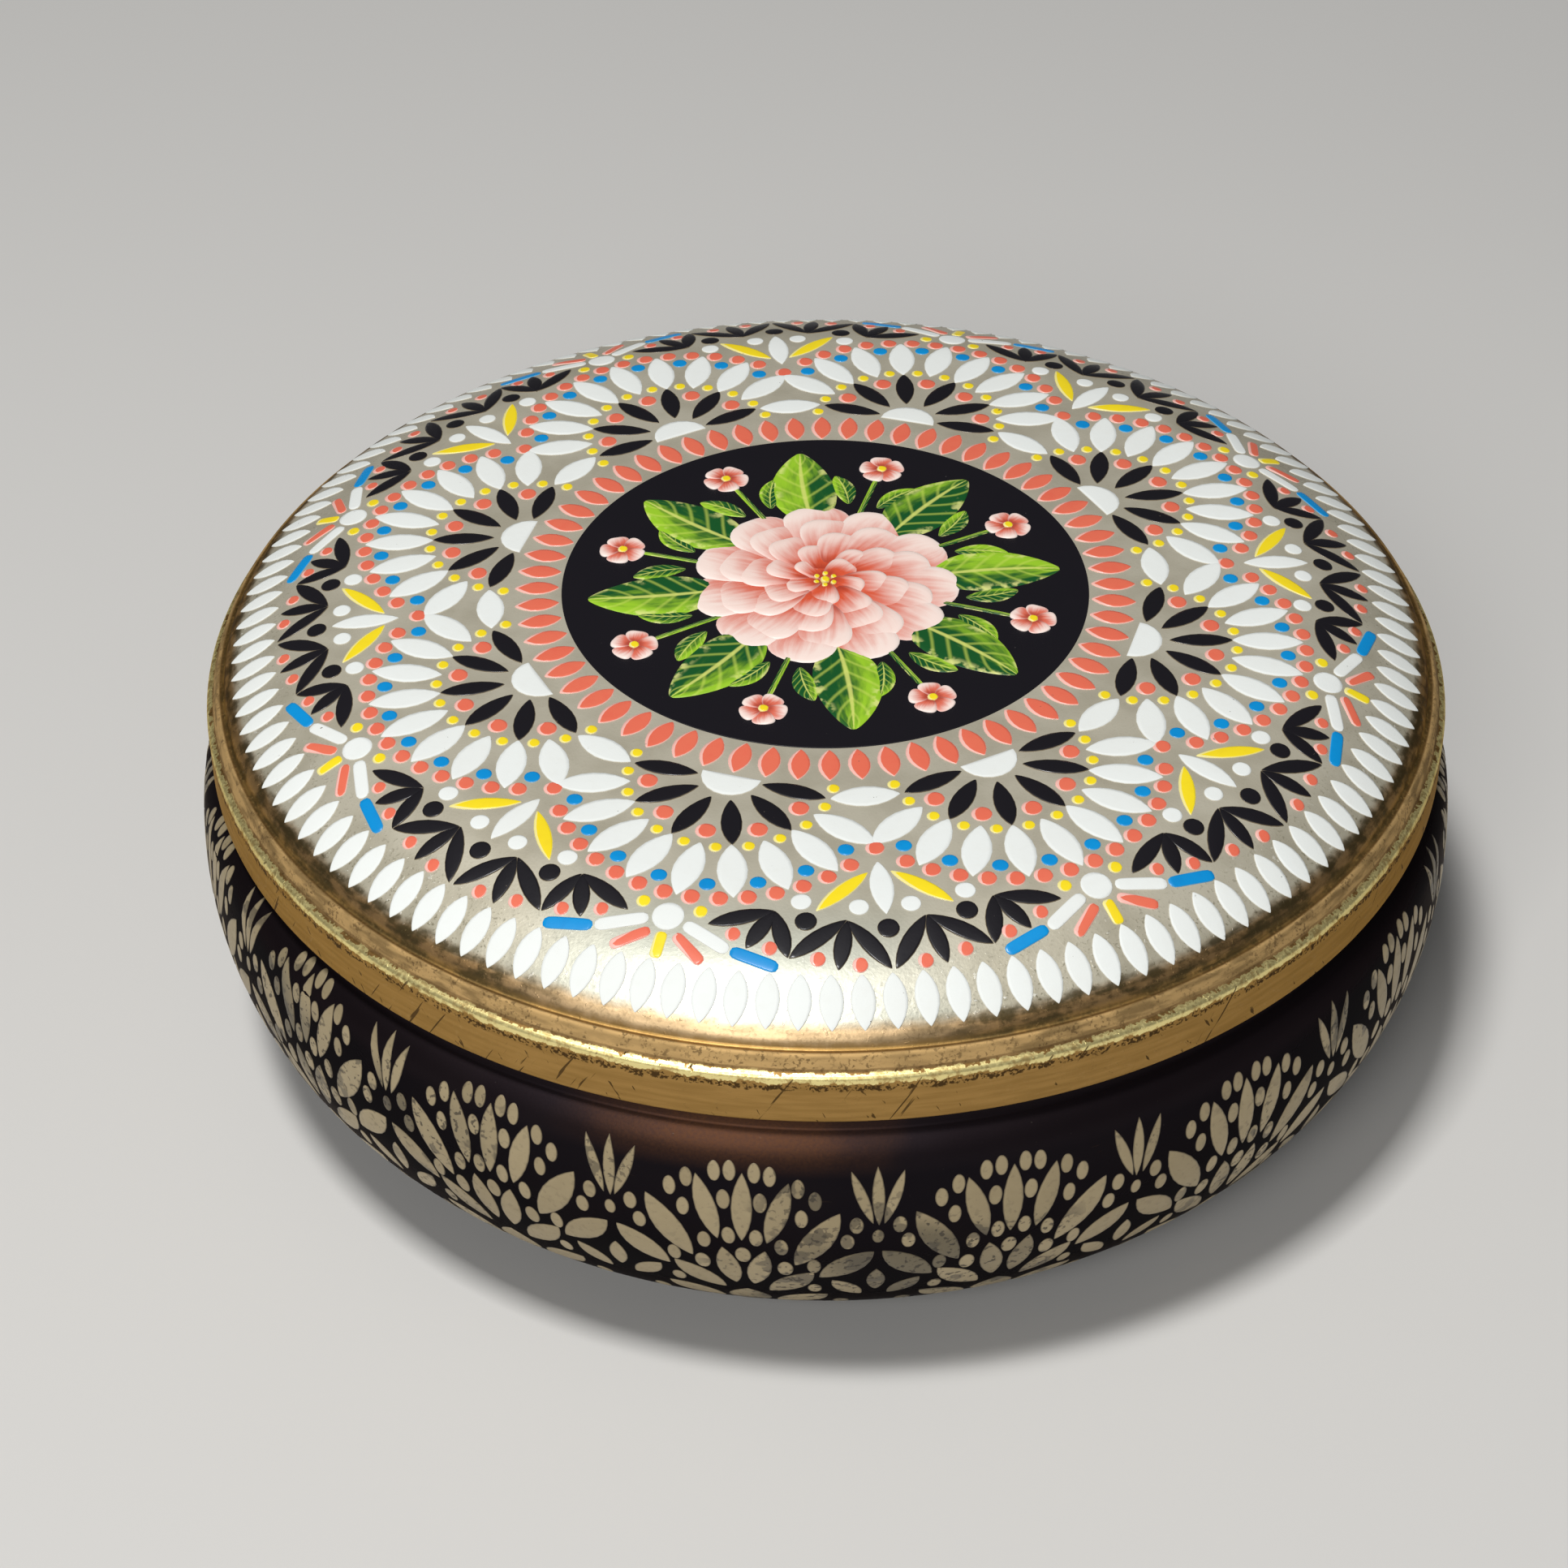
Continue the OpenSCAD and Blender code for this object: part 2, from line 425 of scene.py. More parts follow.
def lid_ground(nodes, lid, colours, at):
    """Clouded champagne metal between the enamels, with a painted silver highlight at the front, and its
    specks and painted glints.
    """
    tarnished = 0.12 + 0.75 * at.outward * at.blotch.ramp(0.35, 0.6)
    speck = at.grain.ramp(0.54, 0.68) * tarnished * (1 - at.frontal * 0.6)
    # Painted highlight: silver colour on the front of the brow, where the lamps' highlight lies
    silver_highlight = at.frontal * at.reach.ramp(0.72 * lid.radius, 0.86 * lid.radius)
    # Painted glints: white flecks of reflected light near the rim, which also raise the bump
    glint = nodes.noise(at.place, 0.8 * MM, 3).ramp(0.65, 0.69) * at.outward
    glint = glint * (0.3 + 0.7 * at.cloud.ramp(0.4, 0.6))
    shade = nodes.coats(
        colours.champagne,
        (at.cloud.ramp(0.3, 0.75) * 0.4, linear(164, 155, 130)),
        (speck, linear(92, 86, 64)),
        # Patina and painted shade: darker in clouds towards the brow, where it turns away from the light
        (at.outward * (0.05 + at.cloud * 0.4), linear(146, 142, 120)),
        (silver_highlight * 0.75, linear(180, 184, 172)),
        (glint * 0.8, linear(240, 238, 226)),
    )
    return shade, speck, glint


def rim_parts(lid, form, at):
    """Masks of the rim's parts, from the dome's turned-down edge to the skirt."""
    crease_reach = form.crease.x
    bead_top = lid.bead_height + lid.bead
    groove_height = form.groove.y - lid.base
    edge = 1 - (at.reach + at.uneven * 0.5).ramp(crease_reach - 1 * MM, crease_reach - 0.4 * MM)
    band = at.reach.ramp(crease_reach, crease_reach + 0.3 * MM)
    band = band * at.height.ramp(bead_top, bead_top + 0.3 * MM)
    crease = 1 - abs(at.reach - crease_reach + at.uneven * 0.3).ramp(0.1 * MM, 0.4 * MM)
    crease = crease * at.height.ramp(lid.ridge_height - 0.5 * MM, lid.ridge_height - 0.3 * MM)
    groove = (at.height + at.uneven * 0.4).band(groove_height - 0.55 * MM, groove_height, 0.2 * MM)
    groove = groove * at.reach.ramp(form.ridge.x, form.ridge.x + 0.4 * MM)
    bead = at.reach.ramp(form.bead.x - 0.3 * MM, form.bead.x)
    skirt = 1 - at.height.ramp(lid.bead_height - 1 * MM, lid.bead_height)
    return RimParts(edge, band, crease, groove, bead, skirt)


def rim_wear(nodes, lid, at, on):
    """The bead's worn line, and the dirt, ticks and long scratches under it."""
    line = at.height + at.uneven * 2
    worn = line.band(lid.bead_height - 0.2 * MM, lid.bead_height + lid.bead, 0.15 * MM) * on.bead
    worn = worn * (0.35 + 0.65 * (at.blotch * 0.6 + at.grain * 0.4).ramp(0.38, 0.52))
    under = line.band(lid.bead_height - 1.3 * MM, lid.bead_height - 0.6 * MM, 0.35 * MM) * on.bead
    dirt = under * (at.grain + at.blotch * 0.4).ramp(0.66, 0.76)
    tick = nodes.noise(nodes.vector(at.run + at.height * 0.5, at.reach, at.height * 0.3), 0.8 * MM, 3)
    scratch = nodes.noise(nodes.vector(at.run - at.height * 0.6, at.reach, at.height * 0.08), 0.9 * MM)
    mark = (on.skirt * tick.ramp(0.67, 0.71)).most(on.bead * scratch.ramp(0.69, 0.72))
    return worn, dirt.most(mark * 0.9)


def rim_lacquer(nodes, colours, at, on, worn, dirt):
    """Gold lacquer of the rim and the skirt, under its patina, grit, soot and wear, with a painted highlight
    on the front of the dome's edge.
    """
    grit = at.grain.ramp(0.5, 0.62) * at.blotch.ramp(0.4, 0.6)
    patina = (at.smear * 0.7 + at.cloud * 0.3).ramp(0.44, 0.6)
    # Less patina and grit on the front, where the painted highlight lies
    patina = patina * on.band.most(on.edge) * (1 - at.frontal * 0.6)
    soot = on.crease * (0.2 + at.blotch * 0.6) + on.groove * (0.15 + at.blotch * 0.7)
    return nodes.coats(
        colours.gold,
        (at.streak.ramp(0.3, 0.7) * 0.5, linear(150, 116, 62)),
        (on.edge * 0.8, linear(172, 138, 96)),
        # Painted highlight: pale gold on the front of the dome's turned-down edge
        (on.edge * at.frontal * 0.7, linear(232, 202, 158)),
        (on.edge * grit * 0.7 * (1 - at.frontal * 0.7), colours.grime),
        (on.band * 0.8, linear(206, 172, 118)),
        (patina * 0.55, linear(84, 66, 38)),
        (on.band * grit * 0.6, colours.grime),
        (soot.least(1.0), linear(92, 64, 36)),
        (worn * 0.95, linear(255, 238, 166)),
        (dirt * 0.9, colours.grime),
    )


@as_material
def lid_metal(nodes, lid, form, colours):
    """Champagne ground inside the border and gold lacquer outside it, with dirt and painted shade just
    outside the tips of the border.
    """
    at = lid_place(nodes, lid)
    on = rim_parts(lid, form, at)
    worn, dirt = rim_wear(nodes, lid, at, on)
    ground, speck, glint = lid_ground(nodes, lid, colours, at)
    tint = rim_lacquer(nodes, colours, at, on, worn, dirt)
    border = lid.radius - lid.rim
    on_rim = (at.reach + (at.blotch - 0.5) * (1.2 * MM)).ramp(border - 1.6 * MM, border + 0.2 * MM)
    # Dirt and painted shade: darker just outside the border's tips, where the dome turns down, less at the
    # lit front
    tip_dirt_and_shade = (at.reach + at.uneven).band(border - 0.6 * MM, border + 1.2 * MM, 0.8 * MM)
    tip_dirt_and_shade = tip_dirt_and_shade * (at.smear * 0.5 + at.blotch * 0.5).ramp(0.4, 0.58) * (0.75 - at.frontal * 0.65)
    polish = at.outward * at.frontal.most(on_rim) * 0.4
    rough = 0.42 + at.grain * 0.08 + on.skirt * on_rim * 0.1 + dirt * 0.3 + on.band * 0.2 - worn * 0.1
    dents = at.blotch * at.outward * (1 - on_rim) * 2.8
    relief = at.grain * 0.6 + at.streak * 0.2 * on_rim - dirt * 0.5 + glint + dents
    return {
        "Base Color": nodes.coats(ground, (on_rim, tint), (tip_dirt_and_shade, linear(78, 70, 46))),
        "Metallic": 0.45 + polish - dirt.most(speck) * 0.4 - on.band * 0.3,
        "Roughness": rough,
        "Specular Tint": (0.4, 0.3, 0.18, 1),
        "Coat Weight": 0.5 - on_rim * 0.5,
        "Coat Roughness": 0.28,
        "Normal": nodes.bump(relief, 0.03 * MM),
    }


@as_material
def lacquered_tin(nodes, colours):
    """Lacquered tinplate with drawing rings and smudges, for the inside, the neck and the base."""
    place = nodes.place()
    x, y, z = place.parts()
    reach = (x * x + y * y).root()
    rings = nodes.noise(nodes.vector(reach, z, y.angle_over(x) * (3 * MM)), 0.5 * MM, 3)
    smudge = nodes.noise(place, 14 * MM, 4)
    grain = nodes.noise(place, 0.4 * MM)
    speck = nodes.noise(place, 1.5 * MM, 3).ramp(0.73, 0.77)
    shade = nodes.coats(
        colours.lacquer,
        (rings.ramp(0.3, 0.7) * 0.5, linear(188, 152, 82)),
        (smudge.ramp(0.52, 0.72) * 0.4, colours.bare),
        (speck * 0.6, colours.grime),
    )
    return {
        "Base Color": shade,
        "Metallic": 0.9 - speck * 0.5,
        "Roughness": 0.26 + rings * 0.1 + smudge * 0.16,
        "Normal": nodes.bump(rings + grain * 0.4, 0.02 * MM),
    }


@as_material
def body_print(nodes, body, colours):
    """Black satin print over warm metal, with faint scratches, metal showing at the foot, a painted sheen on
    the shoulder and a painted warm highlight on its front.
    """
    place = nodes.place()
    x, y, z = place.parts()
    round_angle = y.angle_over(x)
    cloud = nodes.noise(place, 12 * MM, 3)
    grain = nodes.noise(place, 0.45 * MM, 3)
    scratch = nodes.noise(nodes.vector(round_angle * (10 * MM), z, cloud * (2 * MM)), 0.5 * MM, 3)
    line = scratch.ramp(0.7, 0.74) * cloud.ramp(0.5, 0.65)
    on_shoulder = z.ramp(body.shoulder_height - 6.5 * MM, body.shoulder_height - 1.5 * MM)
    # Painted highlight: warm colour on the front of the shoulder, where the lamps' highlight falls
    shoulder_highlight = (toward_highlight(round_angle) + (cloud - 0.5) * 0.03).ramp(0.965, 1.0)
    shoulder_highlight = shoulder_highlight * on_shoulder * (0.3 + grain * 1.1)
    at_foot = 1 - z.ramp(0.15 * body.foot, 0.75 * body.foot)
    bare = at_foot * grain.ramp(0.5, 0.6) * cloud.ramp(0.35, 0.55)
    dust = nodes.noise(place, 0.7 * MM, 3).ramp(0.74, 0.78)
    shade = nodes.coats(
        colours.body_black,
        (cloud.ramp(0.35, 0.7) * 0.4, linear(34, 29, 31)),
        # Painted sheen: the shoulder is lighter all round
        (on_shoulder * 0.6, linear(48, 39, 42)),
        (shoulder_highlight.least(1.0), colours.body_sheen),
        (line * 0.3, linear(90, 72, 54)),
        (bare * 0.8, colours.bare),
        (dust * 0.25, linear(110, 102, 94)),
    )
    return {
        "Base Color": shade,
        "Metallic": 0.85,
        "Roughness": 0.38 + cloud * 0.1 + grain * 0.05 + shoulder_highlight * 0.06,
        "Specular IOR Level": 0.2,
        "Specular Tint": (0.3, 0.24, 0.2, 1),
        "Normal": nodes.bump(grain * 0.6 + line, 0.02 * MM),
    }


@as_material
def printed_petal(nodes, colours):
    """Champagne petals where the body's metal shows, spotted and tarnished here and there."""
    place = nodes.place()
    tone = nodes.attribute("tone")
    mottle = nodes.noise(place, 1.4 * MM, 3)
    region = nodes.noise(place, 26 * MM)
    tarnish = region.ramp(0.5, 0.66) * tone.ramp(0.35, 0.75)
    stain = nodes.noise(place, 5 * MM, 3).ramp(0.56, 0.6) * region.ramp(0.42, 0.52)
    dark = nodes.noise(place, 0.9 * MM, 3).ramp(0.56, 0.63) * (0.15 + 0.85 * region.ramp(0.44, 0.58))
    rim = 1 - nodes.attribute("edge").ramp(0.03 * MM, 0.22 * MM)
    shade = nodes.coats(
        colours.body_petal,
        (tone * 0.4 + mottle * 0.25, linear(146, 130, 98)),
        (tarnish * 0.7, linear(82, 76, 60)),
        (stain * 0.6, linear(74, 68, 58)),
        (dark * 0.8, linear(58, 50, 40)),
        (rim * 0.75, linear(78, 68, 52)),
    )
    return {
        "Base Color": shade,
        "Metallic": 0.45 - dark * 0.3,
        "Roughness": 0.4 + mottle * 0.12 + dark * 0.2,
        "Normal": nodes.bump(mottle - dark, 0.02 * MM),
    }


@as_material
def medallion_black(nodes, colours):
    """Smooth black ground of the medallion with a few pin marks."""
    place = nodes.place()
    cloud = nodes.noise(place, 10 * MM, 3)
    grain = nodes.noise(place, 0.4 * MM)
    pin = nodes.noise(place, 1.1 * MM).ramp(0.77, 0.79)
    cloudy = (cloud.ramp(0.3, 0.7) * 0.5, linear(16, 14, 21))
    return {
        "Base Color": nodes.coats(colours.black, cloudy, (pin * 0.5, linear(96, 92, 92))),
        "Roughness": 0.4 + cloud * 0.1,
        "Specular IOR Level": 0.3,
        "Normal": nodes.bump(grain, 0.012 * MM),
    }


@as_material
def painted_petal(nodes, pale, deep):
    """Painted petals: deep at the base, pale towards a light rim, with brush marks along their length."""
    along, across, _ = nodes.attribute("cell", "Vector").parts()
    brush = nodes.noise(nodes.vector(along * 0.6, across * 5, nodes.attribute("tone") * 40), 1, 3)
    wash = nodes.noise(nodes.place(), 3 * MM, 3)
    from_base = along * 0.5 + 0.5
    height = from_base + across * 0.25 + (brush - 0.5) * 0.5 + (wash - 0.5) * 0.25
    depth = (1 - height.ramp(0.3, 1.0)) * 0.9 + nodes.attribute("shade") * 0.2
    hollow = 1 - (from_base + (brush - 0.5) * 0.3).ramp(0.1, 0.42)
    rim = (abs(across) ** 6).most(along.ramp(0.86, 0.99))
    shade = nodes.coats(
        pale,
        (depth.least(1.0), deep),
        (hollow * 0.7, linear(158, 48, 32)),
        (rim * 0.55, linear(255, 244, 236)),
    )
    return {
        "Base Color": shade,
        "Roughness": 0.38 + wash * 0.1,
        "Normal": nodes.bump(brush, 0.02 * MM),
    }


@as_material
def painted_leaf(nodes, dark, light):
    """Painted leaves with a pale midrib, side veins and a lit half."""
    along, across, _ = nodes.attribute("cell", "Vector").parts()
    tone = nodes.attribute("tone")
    wash = nodes.noise(nodes.place(), 2.4 * MM, 3)
    brush = nodes.noise(nodes.vector(along * 2, across * 3, tone * 40), 1, 3)
    vein_run = along * 3.2 - abs(across) * 1.5
    vein = abs(vein_run - vein_run.nearest()).ramp(0.0, 0.2)
    lit = (across * 0.55 + along * 0.25 + 0.35 + (brush - 0.5) * 1.3 + (tone - 0.5) * 0.5).ramp(0.2, 0.95)
    glint = (abs(across) - 0.55).ramp(0.0, 0.35) * wash.ramp(0.5, 0.62)
    rib = 1 - abs(across).ramp(0.03, 0.1)
    shade = nodes.coats(
        dark,
        (lit, light),
        ((1 - vein) * 0.45, linear(206, 226, 96)),
        (glint * 0.7, linear(240, 240, 150)),
        (rib * 0.8, linear(222, 228, 120)),
    )
    return {
        "Base Color": shade,
        "Roughness": 0.38 + wash * 0.1,
        "Normal": nodes.bump(vein + brush * 0.5, 0.02 * MM),
    }


@as_material
def pale_floor(nodes, colours):
    """Plain pale floor with the faintest mottling."""
    cloud = nodes.noise(nodes.place(), 0.25, 3)
    shade = nodes.mix(cloud * 0.3, colours.floor, linear(206, 204, 200))
    return {"Base Color": shade, "Roughness": 0.8 + cloud * 0.1}


# Half-sections

LidForm = namedtuple("LidForm", "ball crown brow_radius brow edge crease ridge groove bead hem")
BodyForm = namedtuple("BodyForm", "low_radius low foot high_radius high shoulder panel curl")


def side_arc(run, rise):
    """Radius of an arc that stands upright at one end and falls in by run over rise."""
    return (run * run + rise * rise) / (2 * run)


def leg(slant, other):
    """Shorter side of a right triangle."""
    return math.sqrt(slant * slant - other * other)


def bearing_of(way):
    """Bearing of a direction in a half-section, from the radial axis."""
    return math.atan2(way.y, way.x)


def fillet_centre(first, first_radius, second, second_radius, fillet):
    """Centre of a fillet that touches two circles from outside, on the upper side."""
    span = (second - first).length
    way = (second - first) / span
    reach = first_radius + fillet
    along = (reach ** 2 - (second_radius + fillet) ** 2 + span ** 2) / (2 * span)
    return first + way * along + Vector((-way.y, way.x)) * leg(reach, along)


def arc(centre, radius, start, end, sag=0.004 * MM):
    """Points along an arc, with chords that stay within the sag of it."""
    steps = math.ceil(abs(end - start) / (2 * math.acos(1 - sag / radius)))
    bearings = [start + (end - start) * i / steps for i in range(steps + 1)]
    return [centre + radius * Vector((math.cos(b), math.sin(b))) for b in bearings]


def lid_form(lid):
    """Centres and radii of the arcs in the lid's half-section."""
    ball = side_arc(lid.crown_sag, lid.crown)
    top = lid.base + lid.height
    crown = Vector((0, top - ball))
    brow_start = Vector((lid.crown, top - lid.crown_sag))
    brow_end = Vector((lid.radius - lid.rim, lid.base + lid.ridge_height + lid.edge_height))
    chord = brow_end - brow_start
    inward = (crown - brow_start) / ball
    brow_radius = chord.length_squared / (2 * chord.dot(inward))
    brow = brow_start + brow_radius * inward
    edge = brow_end + lid.edge * (brow - brow_end) / brow_radius
    ridge = Vector((lid.radius - lid.ridge_in, lid.base + lid.ridge_height - lid.ridge))
    crease = fillet_centre(edge, lid.edge, ridge, lid.ridge, lid.crease)
    bead = Vector((lid.radius - lid.bead, lid.base + lid.bead_height))
    band_out = Vector((math.cos(lid.band_lean), math.sin(lid.band_lean)))
    band_down = Vector((band_out.y, -band_out.x))
    groove_top = ridge + (lid.ridge + lid.groove) * band_out
    to_bead = bead - groove_top
    run = to_bead.dot(band_down) - leg(lid.bead + lid.groove, to_bead.dot(band_out))
    groove = groove_top + run * band_down
    hem = Vector((lid.radius - lid.hem / 2, lid.base + lid.hem / 2))
    return LidForm(ball, crown, brow_radius, brow, edge, crease, ridge, groove, bead, hem)


def lid_face(lid, form, inset):
    """The lid's outer face from the crown to the skirt, or its inner face for an inset of one sheet."""
    brow_from = bearing_of(form.brow - form.crown)
    edge_from = bearing_of(form.edge - form.brow)
    crease_from = bearing_of(form.crease - form.edge)
    ridge_from = bearing_of(form.crease - form.ridge)
    bead_from = bearing_of(form.groove - form.bead)
    return [
        *arc(form.crown, form.ball - inset, QUARTER_TURN, brow_from),
        *arc(form.brow, form.brow_radius - inset, brow_from, edge_from),
        *arc(form.edge, lid.edge - inset, edge_from, crease_from),
        *arc(form.crease, lid.crease + inset, crease_from + math.pi, ridge_from + math.pi),
        *arc(form.ridge, lid.ridge - inset, ridge_from, lid.band_lean),
        *arc(form.groove, lid.groove + inset, lid.band_lean + math.pi, bead_from + math.pi),
        *arc(form.bead, lid.bead - inset, bead_from, 0),
    ]


def lid_outline(lid, form):
    """Closed outline of the lid's sheet, and whether each point is on the lacquered inside."""
    hem_radius = lid.hem / 2
    hem_end = math.acos((hem_radius - lid.sheet) / hem_radius) - FULL_TURN
    outside = lid_face(lid, form, 0)
    hem = arc(form.hem, hem_radius, 0, hem_end)
    inside = lid_face(lid, form, lid.sheet)[::-1]
    points = outside + hem + inside
    lining = [i >= len(outside) + len(hem) // 2 for i in range(len(points))]
    return points, lining


def body_form(body):
    """Centres and radii of the arcs in the body's half-section."""
    low_radius = side_arc(body.belly - body.foot_reach, body.belly_height)
    low = Vector((body.belly - low_radius, body.belly_height))
    foot_out = leg(low_radius - body.foot, body.belly_height - body.foot)
    foot = Vector((low.x + foot_out, body.foot))
    lean = Vector((math.cos(body.shoulder_lean), math.sin(body.shoulder_lean)))
    shoulder = Vector((body.neck, body.shoulder_height)) - body.shoulder * lean
    off = shoulder - Vector((body.belly, body.belly_height))
    high_radius = (body.shoulder ** 2 - off.length_squared) / (2 * (off.x + body.shoulder))
    high = Vector((body.belly - high_radius, body.belly_height))
    curl = Vector((body.neck - body.curl, body.top - body.curl))
    return BodyForm(low_radius, low, foot, high_radius, high, shoulder, foot.x - body.rest, curl)


def body_face(body, form, inset):
    """The body's base and its side up to the neck, as two runs of points."""
    rise = body.panel_rise + inset
    reach = form.panel + inset * math.sqrt(2)
    low_from = bearing_of(form.foot - form.low)
    shoulder_from = bearing_of(form.shoulder - form.high)
    neck_in = body.neck - inset - form.shoulder.x
    shoulder_to = math.acos(neck_in / (body.shoulder - inset))
    base = [Vector((0, rise)), Vector((reach - rise, rise)), Vector((reach - inset, inset))]
    side = [
        *arc(form.foot, body.foot - inset, -QUARTER_TURN, low_from),
        *arc(form.low, form.low_radius - inset, low_from, 0),
        *arc(form.high, form.high_radius - inset, 0, shoulder_from),
        *arc(form.shoulder, body.shoulder - inset, shoulder_from, shoulder_to),
    ]
    return base, side


def body_outline(body, form):
    """Closed outline of the body's sheet, and whether each point is on lacquered metal."""
    base, side = body_face(body, form, 0)
    side.append(Vector((body.neck, body.print_top)))
    curl_end = 3 * QUARTER_TURN
    mouth = [
        Vector((body.neck, body.print_top + body.sheet)),
        *arc(form.curl, body.curl, 0, curl_end),
        *arc(form.curl, body.curl - body.sheet, curl_end, 0),
    ]
    inside = [point for run in body_face(body, form, body.sheet) for point in run][::-1]
    points = base + side + mouth + inside
    printed = range(len(base), len(base) + len(side))
    lining = [i not in printed for i in range(len(points))]
    return points, lining


def medallion_outline(form, reach, rise):
    """Closed outline of the medallion on the crown, with a narrow lip at its edge, none of it lacquered."""
    edge = math.acos(reach / form.ball)
    lip = 0.2 * MM / form.ball
    tuck = 0.05 * MM / form.ball
    points = [
        *arc(form.crown, form.ball + rise, QUARTER_TURN, edge + lip),
        *arc(form.crown, form.ball + rise, edge + lip / 2, edge),
        *arc(form.crown, form.ball - rise / 4, edge - tuck, QUARTER_TURN),
    ]
    return points, [False] * len(points)


# Geometry Nodes

def new_tree(name, inputs):
    """A geometry tree with named inputs, its nodes and its input wire."""
    tree = bpy.data.node_groups.new(name, "GeometryNodeTree")
    for title, kind in inputs.items():
        tree.interface.new_socket(name=title, in_out="INPUT", socket_type=f"NodeSocket{kind}")
    tree.interface.new_socket(name="Result", in_out="OUTPUT", socket_type="NodeSocketGeometry")
    nodes = Nodes(tree)
    return nodes, nodes.add("NodeGroupInput")


def shared_tree(name, build):
    """A tree that is built once and used by several pieces."""
    return bpy.data.node_groups.get(name) or build(name)


def named(nodes, name, kind="FLOAT"):
    """Reads a named attribute."""
    return nodes.add("GeometryNodeInputNamedAttribute", {"data_type": kind}, {"Name": name})


def stored(nodes, geometry, name, value, kind="FLOAT"):
    """Keeps a value on the points under a name."""
    return nodes.add(
        "GeometryNodeStoreNamedAttribute",
        {"data_type": kind, "domain": "POINT"},
        {"Geometry": geometry, "Name": name, "Value": value},
    )


def chance(nodes, seed, low=0.0):
    """A number from low to 1 that differs from mark to mark."""
    return nodes.add("FunctionNodeRandomValue", {"data_type": "FLOAT"}, {"Min": low, "Seed": seed})


def switched(past, before, after):
    """One value before a limit and another past it."""
    return before + past * (after - before)


def finished(nodes, geometry, finish, join):
    """Closes seams, smooths the faces and gives them their finish."""
    merged = nodes.add("GeometryNodeMergeByDistance", {}, {"Geometry": geometry, "Distance": join})
    smooth = nodes.add("GeometryNodeSetShadeSmooth", {}, {"Geometry": merged})
    return nodes.add("GeometryNodeSetMaterial", {}, {"Geometry": smooth, "Material": finish})


def lathe_tree(name):
    """Turns a closed outline in the XZ plane round the Z axis."""
    nodes, given = new_tree(name, {
        "Outline": "Geometry", "Steps": "Int", "Hub": "Float", "Face": "Material", "Lining": "Material",
    })
    hub = given["Hub"]
    laid = nodes.add("GeometryNodeTransform", {}, {
        "Geometry": nodes.add("GeometryNodeMeshToCurve", {}, {"Mesh": given["Outline"]}),
        "Translation": nodes.vector(0 - hub, 0, 0),
        "Rotation": (QUARTER_TURN, 0, 0),
    })
    ring = nodes.add("GeometryNodeCurvePrimitiveCircle", {}, {"Resolution": given["Steps"], "Radius": hub})
    sheet = nodes.add("GeometryNodeCurveToMesh", {}, {"Curve": ring, "Profile Curve": laid})
    whole = nodes.add("GeometryNodeRealizeInstances", {}, {"Geometry": sheet})
    faced = finished(nodes, whole, given["Face"], join=0.001 * MM)
    lined = nodes.add("GeometryNodeSetMaterial", {}, {
        "Geometry": faced, "Selection": named(nodes, "lining").above(0.9), "Material": given["Lining"],
    })
    nodes.add("NodeGroupOutput", {}, {"Result": lined})
    return nodes.tree


def on_dome(nodes, given, plan, spin, height):
    """A place over the lid's crown and brow above a point of the plan."""
    spun = nodes.turn(plan, spin)
    reach = nodes.vector_math("LENGTH", {0: spun})["Value"]
    past = reach.above(given["Crown Reach"])
    radius = switched(past, given["Ball"], given["Brow"])
    middle = past * given["Brow Reach"]
    level = switched(past, given["Ball Level"], given["Brow Level"])
    lean = (reach - middle) / radius
    outward = middle + (radius + height) * lean
    upward = level + (radius + height) * (1 - lean * lean).root()
    across = nodes.vector_math("SCALE", {0: nodes.vector_math("NORMALIZE", {0: spun}), "Scale": outward})
    return nodes.vector_math("ADD", {0: across, 1: nodes.vector(0, 0, upward)})


def on_side(nodes, given, plan, spin, height):
    """A place over the body's side, from a distance round the belly and one along the side.

    The print drifts: it stands highest at the drift's bearing and is turned a little towards that side.
    """
    run, own_climb, _ = plan.parts()
    print_bearing = spin + run / given["Belly"]
    off = print_bearing - given["Drift Bearing"]
    climb = own_climb + (given["Drift"] * off.cosine()).least(0 - given["Drift Least"])
    facing = print_bearing - given["Drift Slip"] * off.sine()
    past = climb.above(0)
    over = climb.above(given["Shoulder Start"])
    radius = switched(over, switched(past, given["Low"], given["High"]), given["Shoulder"])
    middle = switched(over, switched(past, given["Low Reach"], given["High Reach"]), given["Shoulder Reach"])
    level = switched(over, given["Level"], given["Shoulder Level"])
    lean = climb / radius + over * given["Shoulder Shift"]
    outward = middle + (radius + height) * lean.cosine()
    upward = level + (radius + height) * lean.sine()
    return nodes.turn(nodes.vector(outward, 0, upward), facing)


def repeated_marks(nodes, given):
    """The marks repeated round the axis, each with its spin, a tone of its own and a slight wobble."""
    copies = nodes.add("GeometryNodeDuplicateElements", {"domain": "POINT"}, {
        "Geometry": given["Marks"], "Amount": given["Repeats"],
    })
    spin = copies["Duplicate Index"] * FULL_TURN / given["Repeats"] + given["First Turn"]
    marks = stored(nodes, copies, "spin", spin)
    marks = stored(nodes, marks, "tone", chance(nodes, given["Seed"]))
    wobble = chance(nodes, given["Seed"] + 1, -1.0) * given["Jitter"]
    marks = stored(nodes, marks, "turn", named(nodes, "turn") + wobble)
    return stored(nodes, marks, "centre", nodes.add("GeometryNodeInputPosition"), "FLOAT_VECTOR")


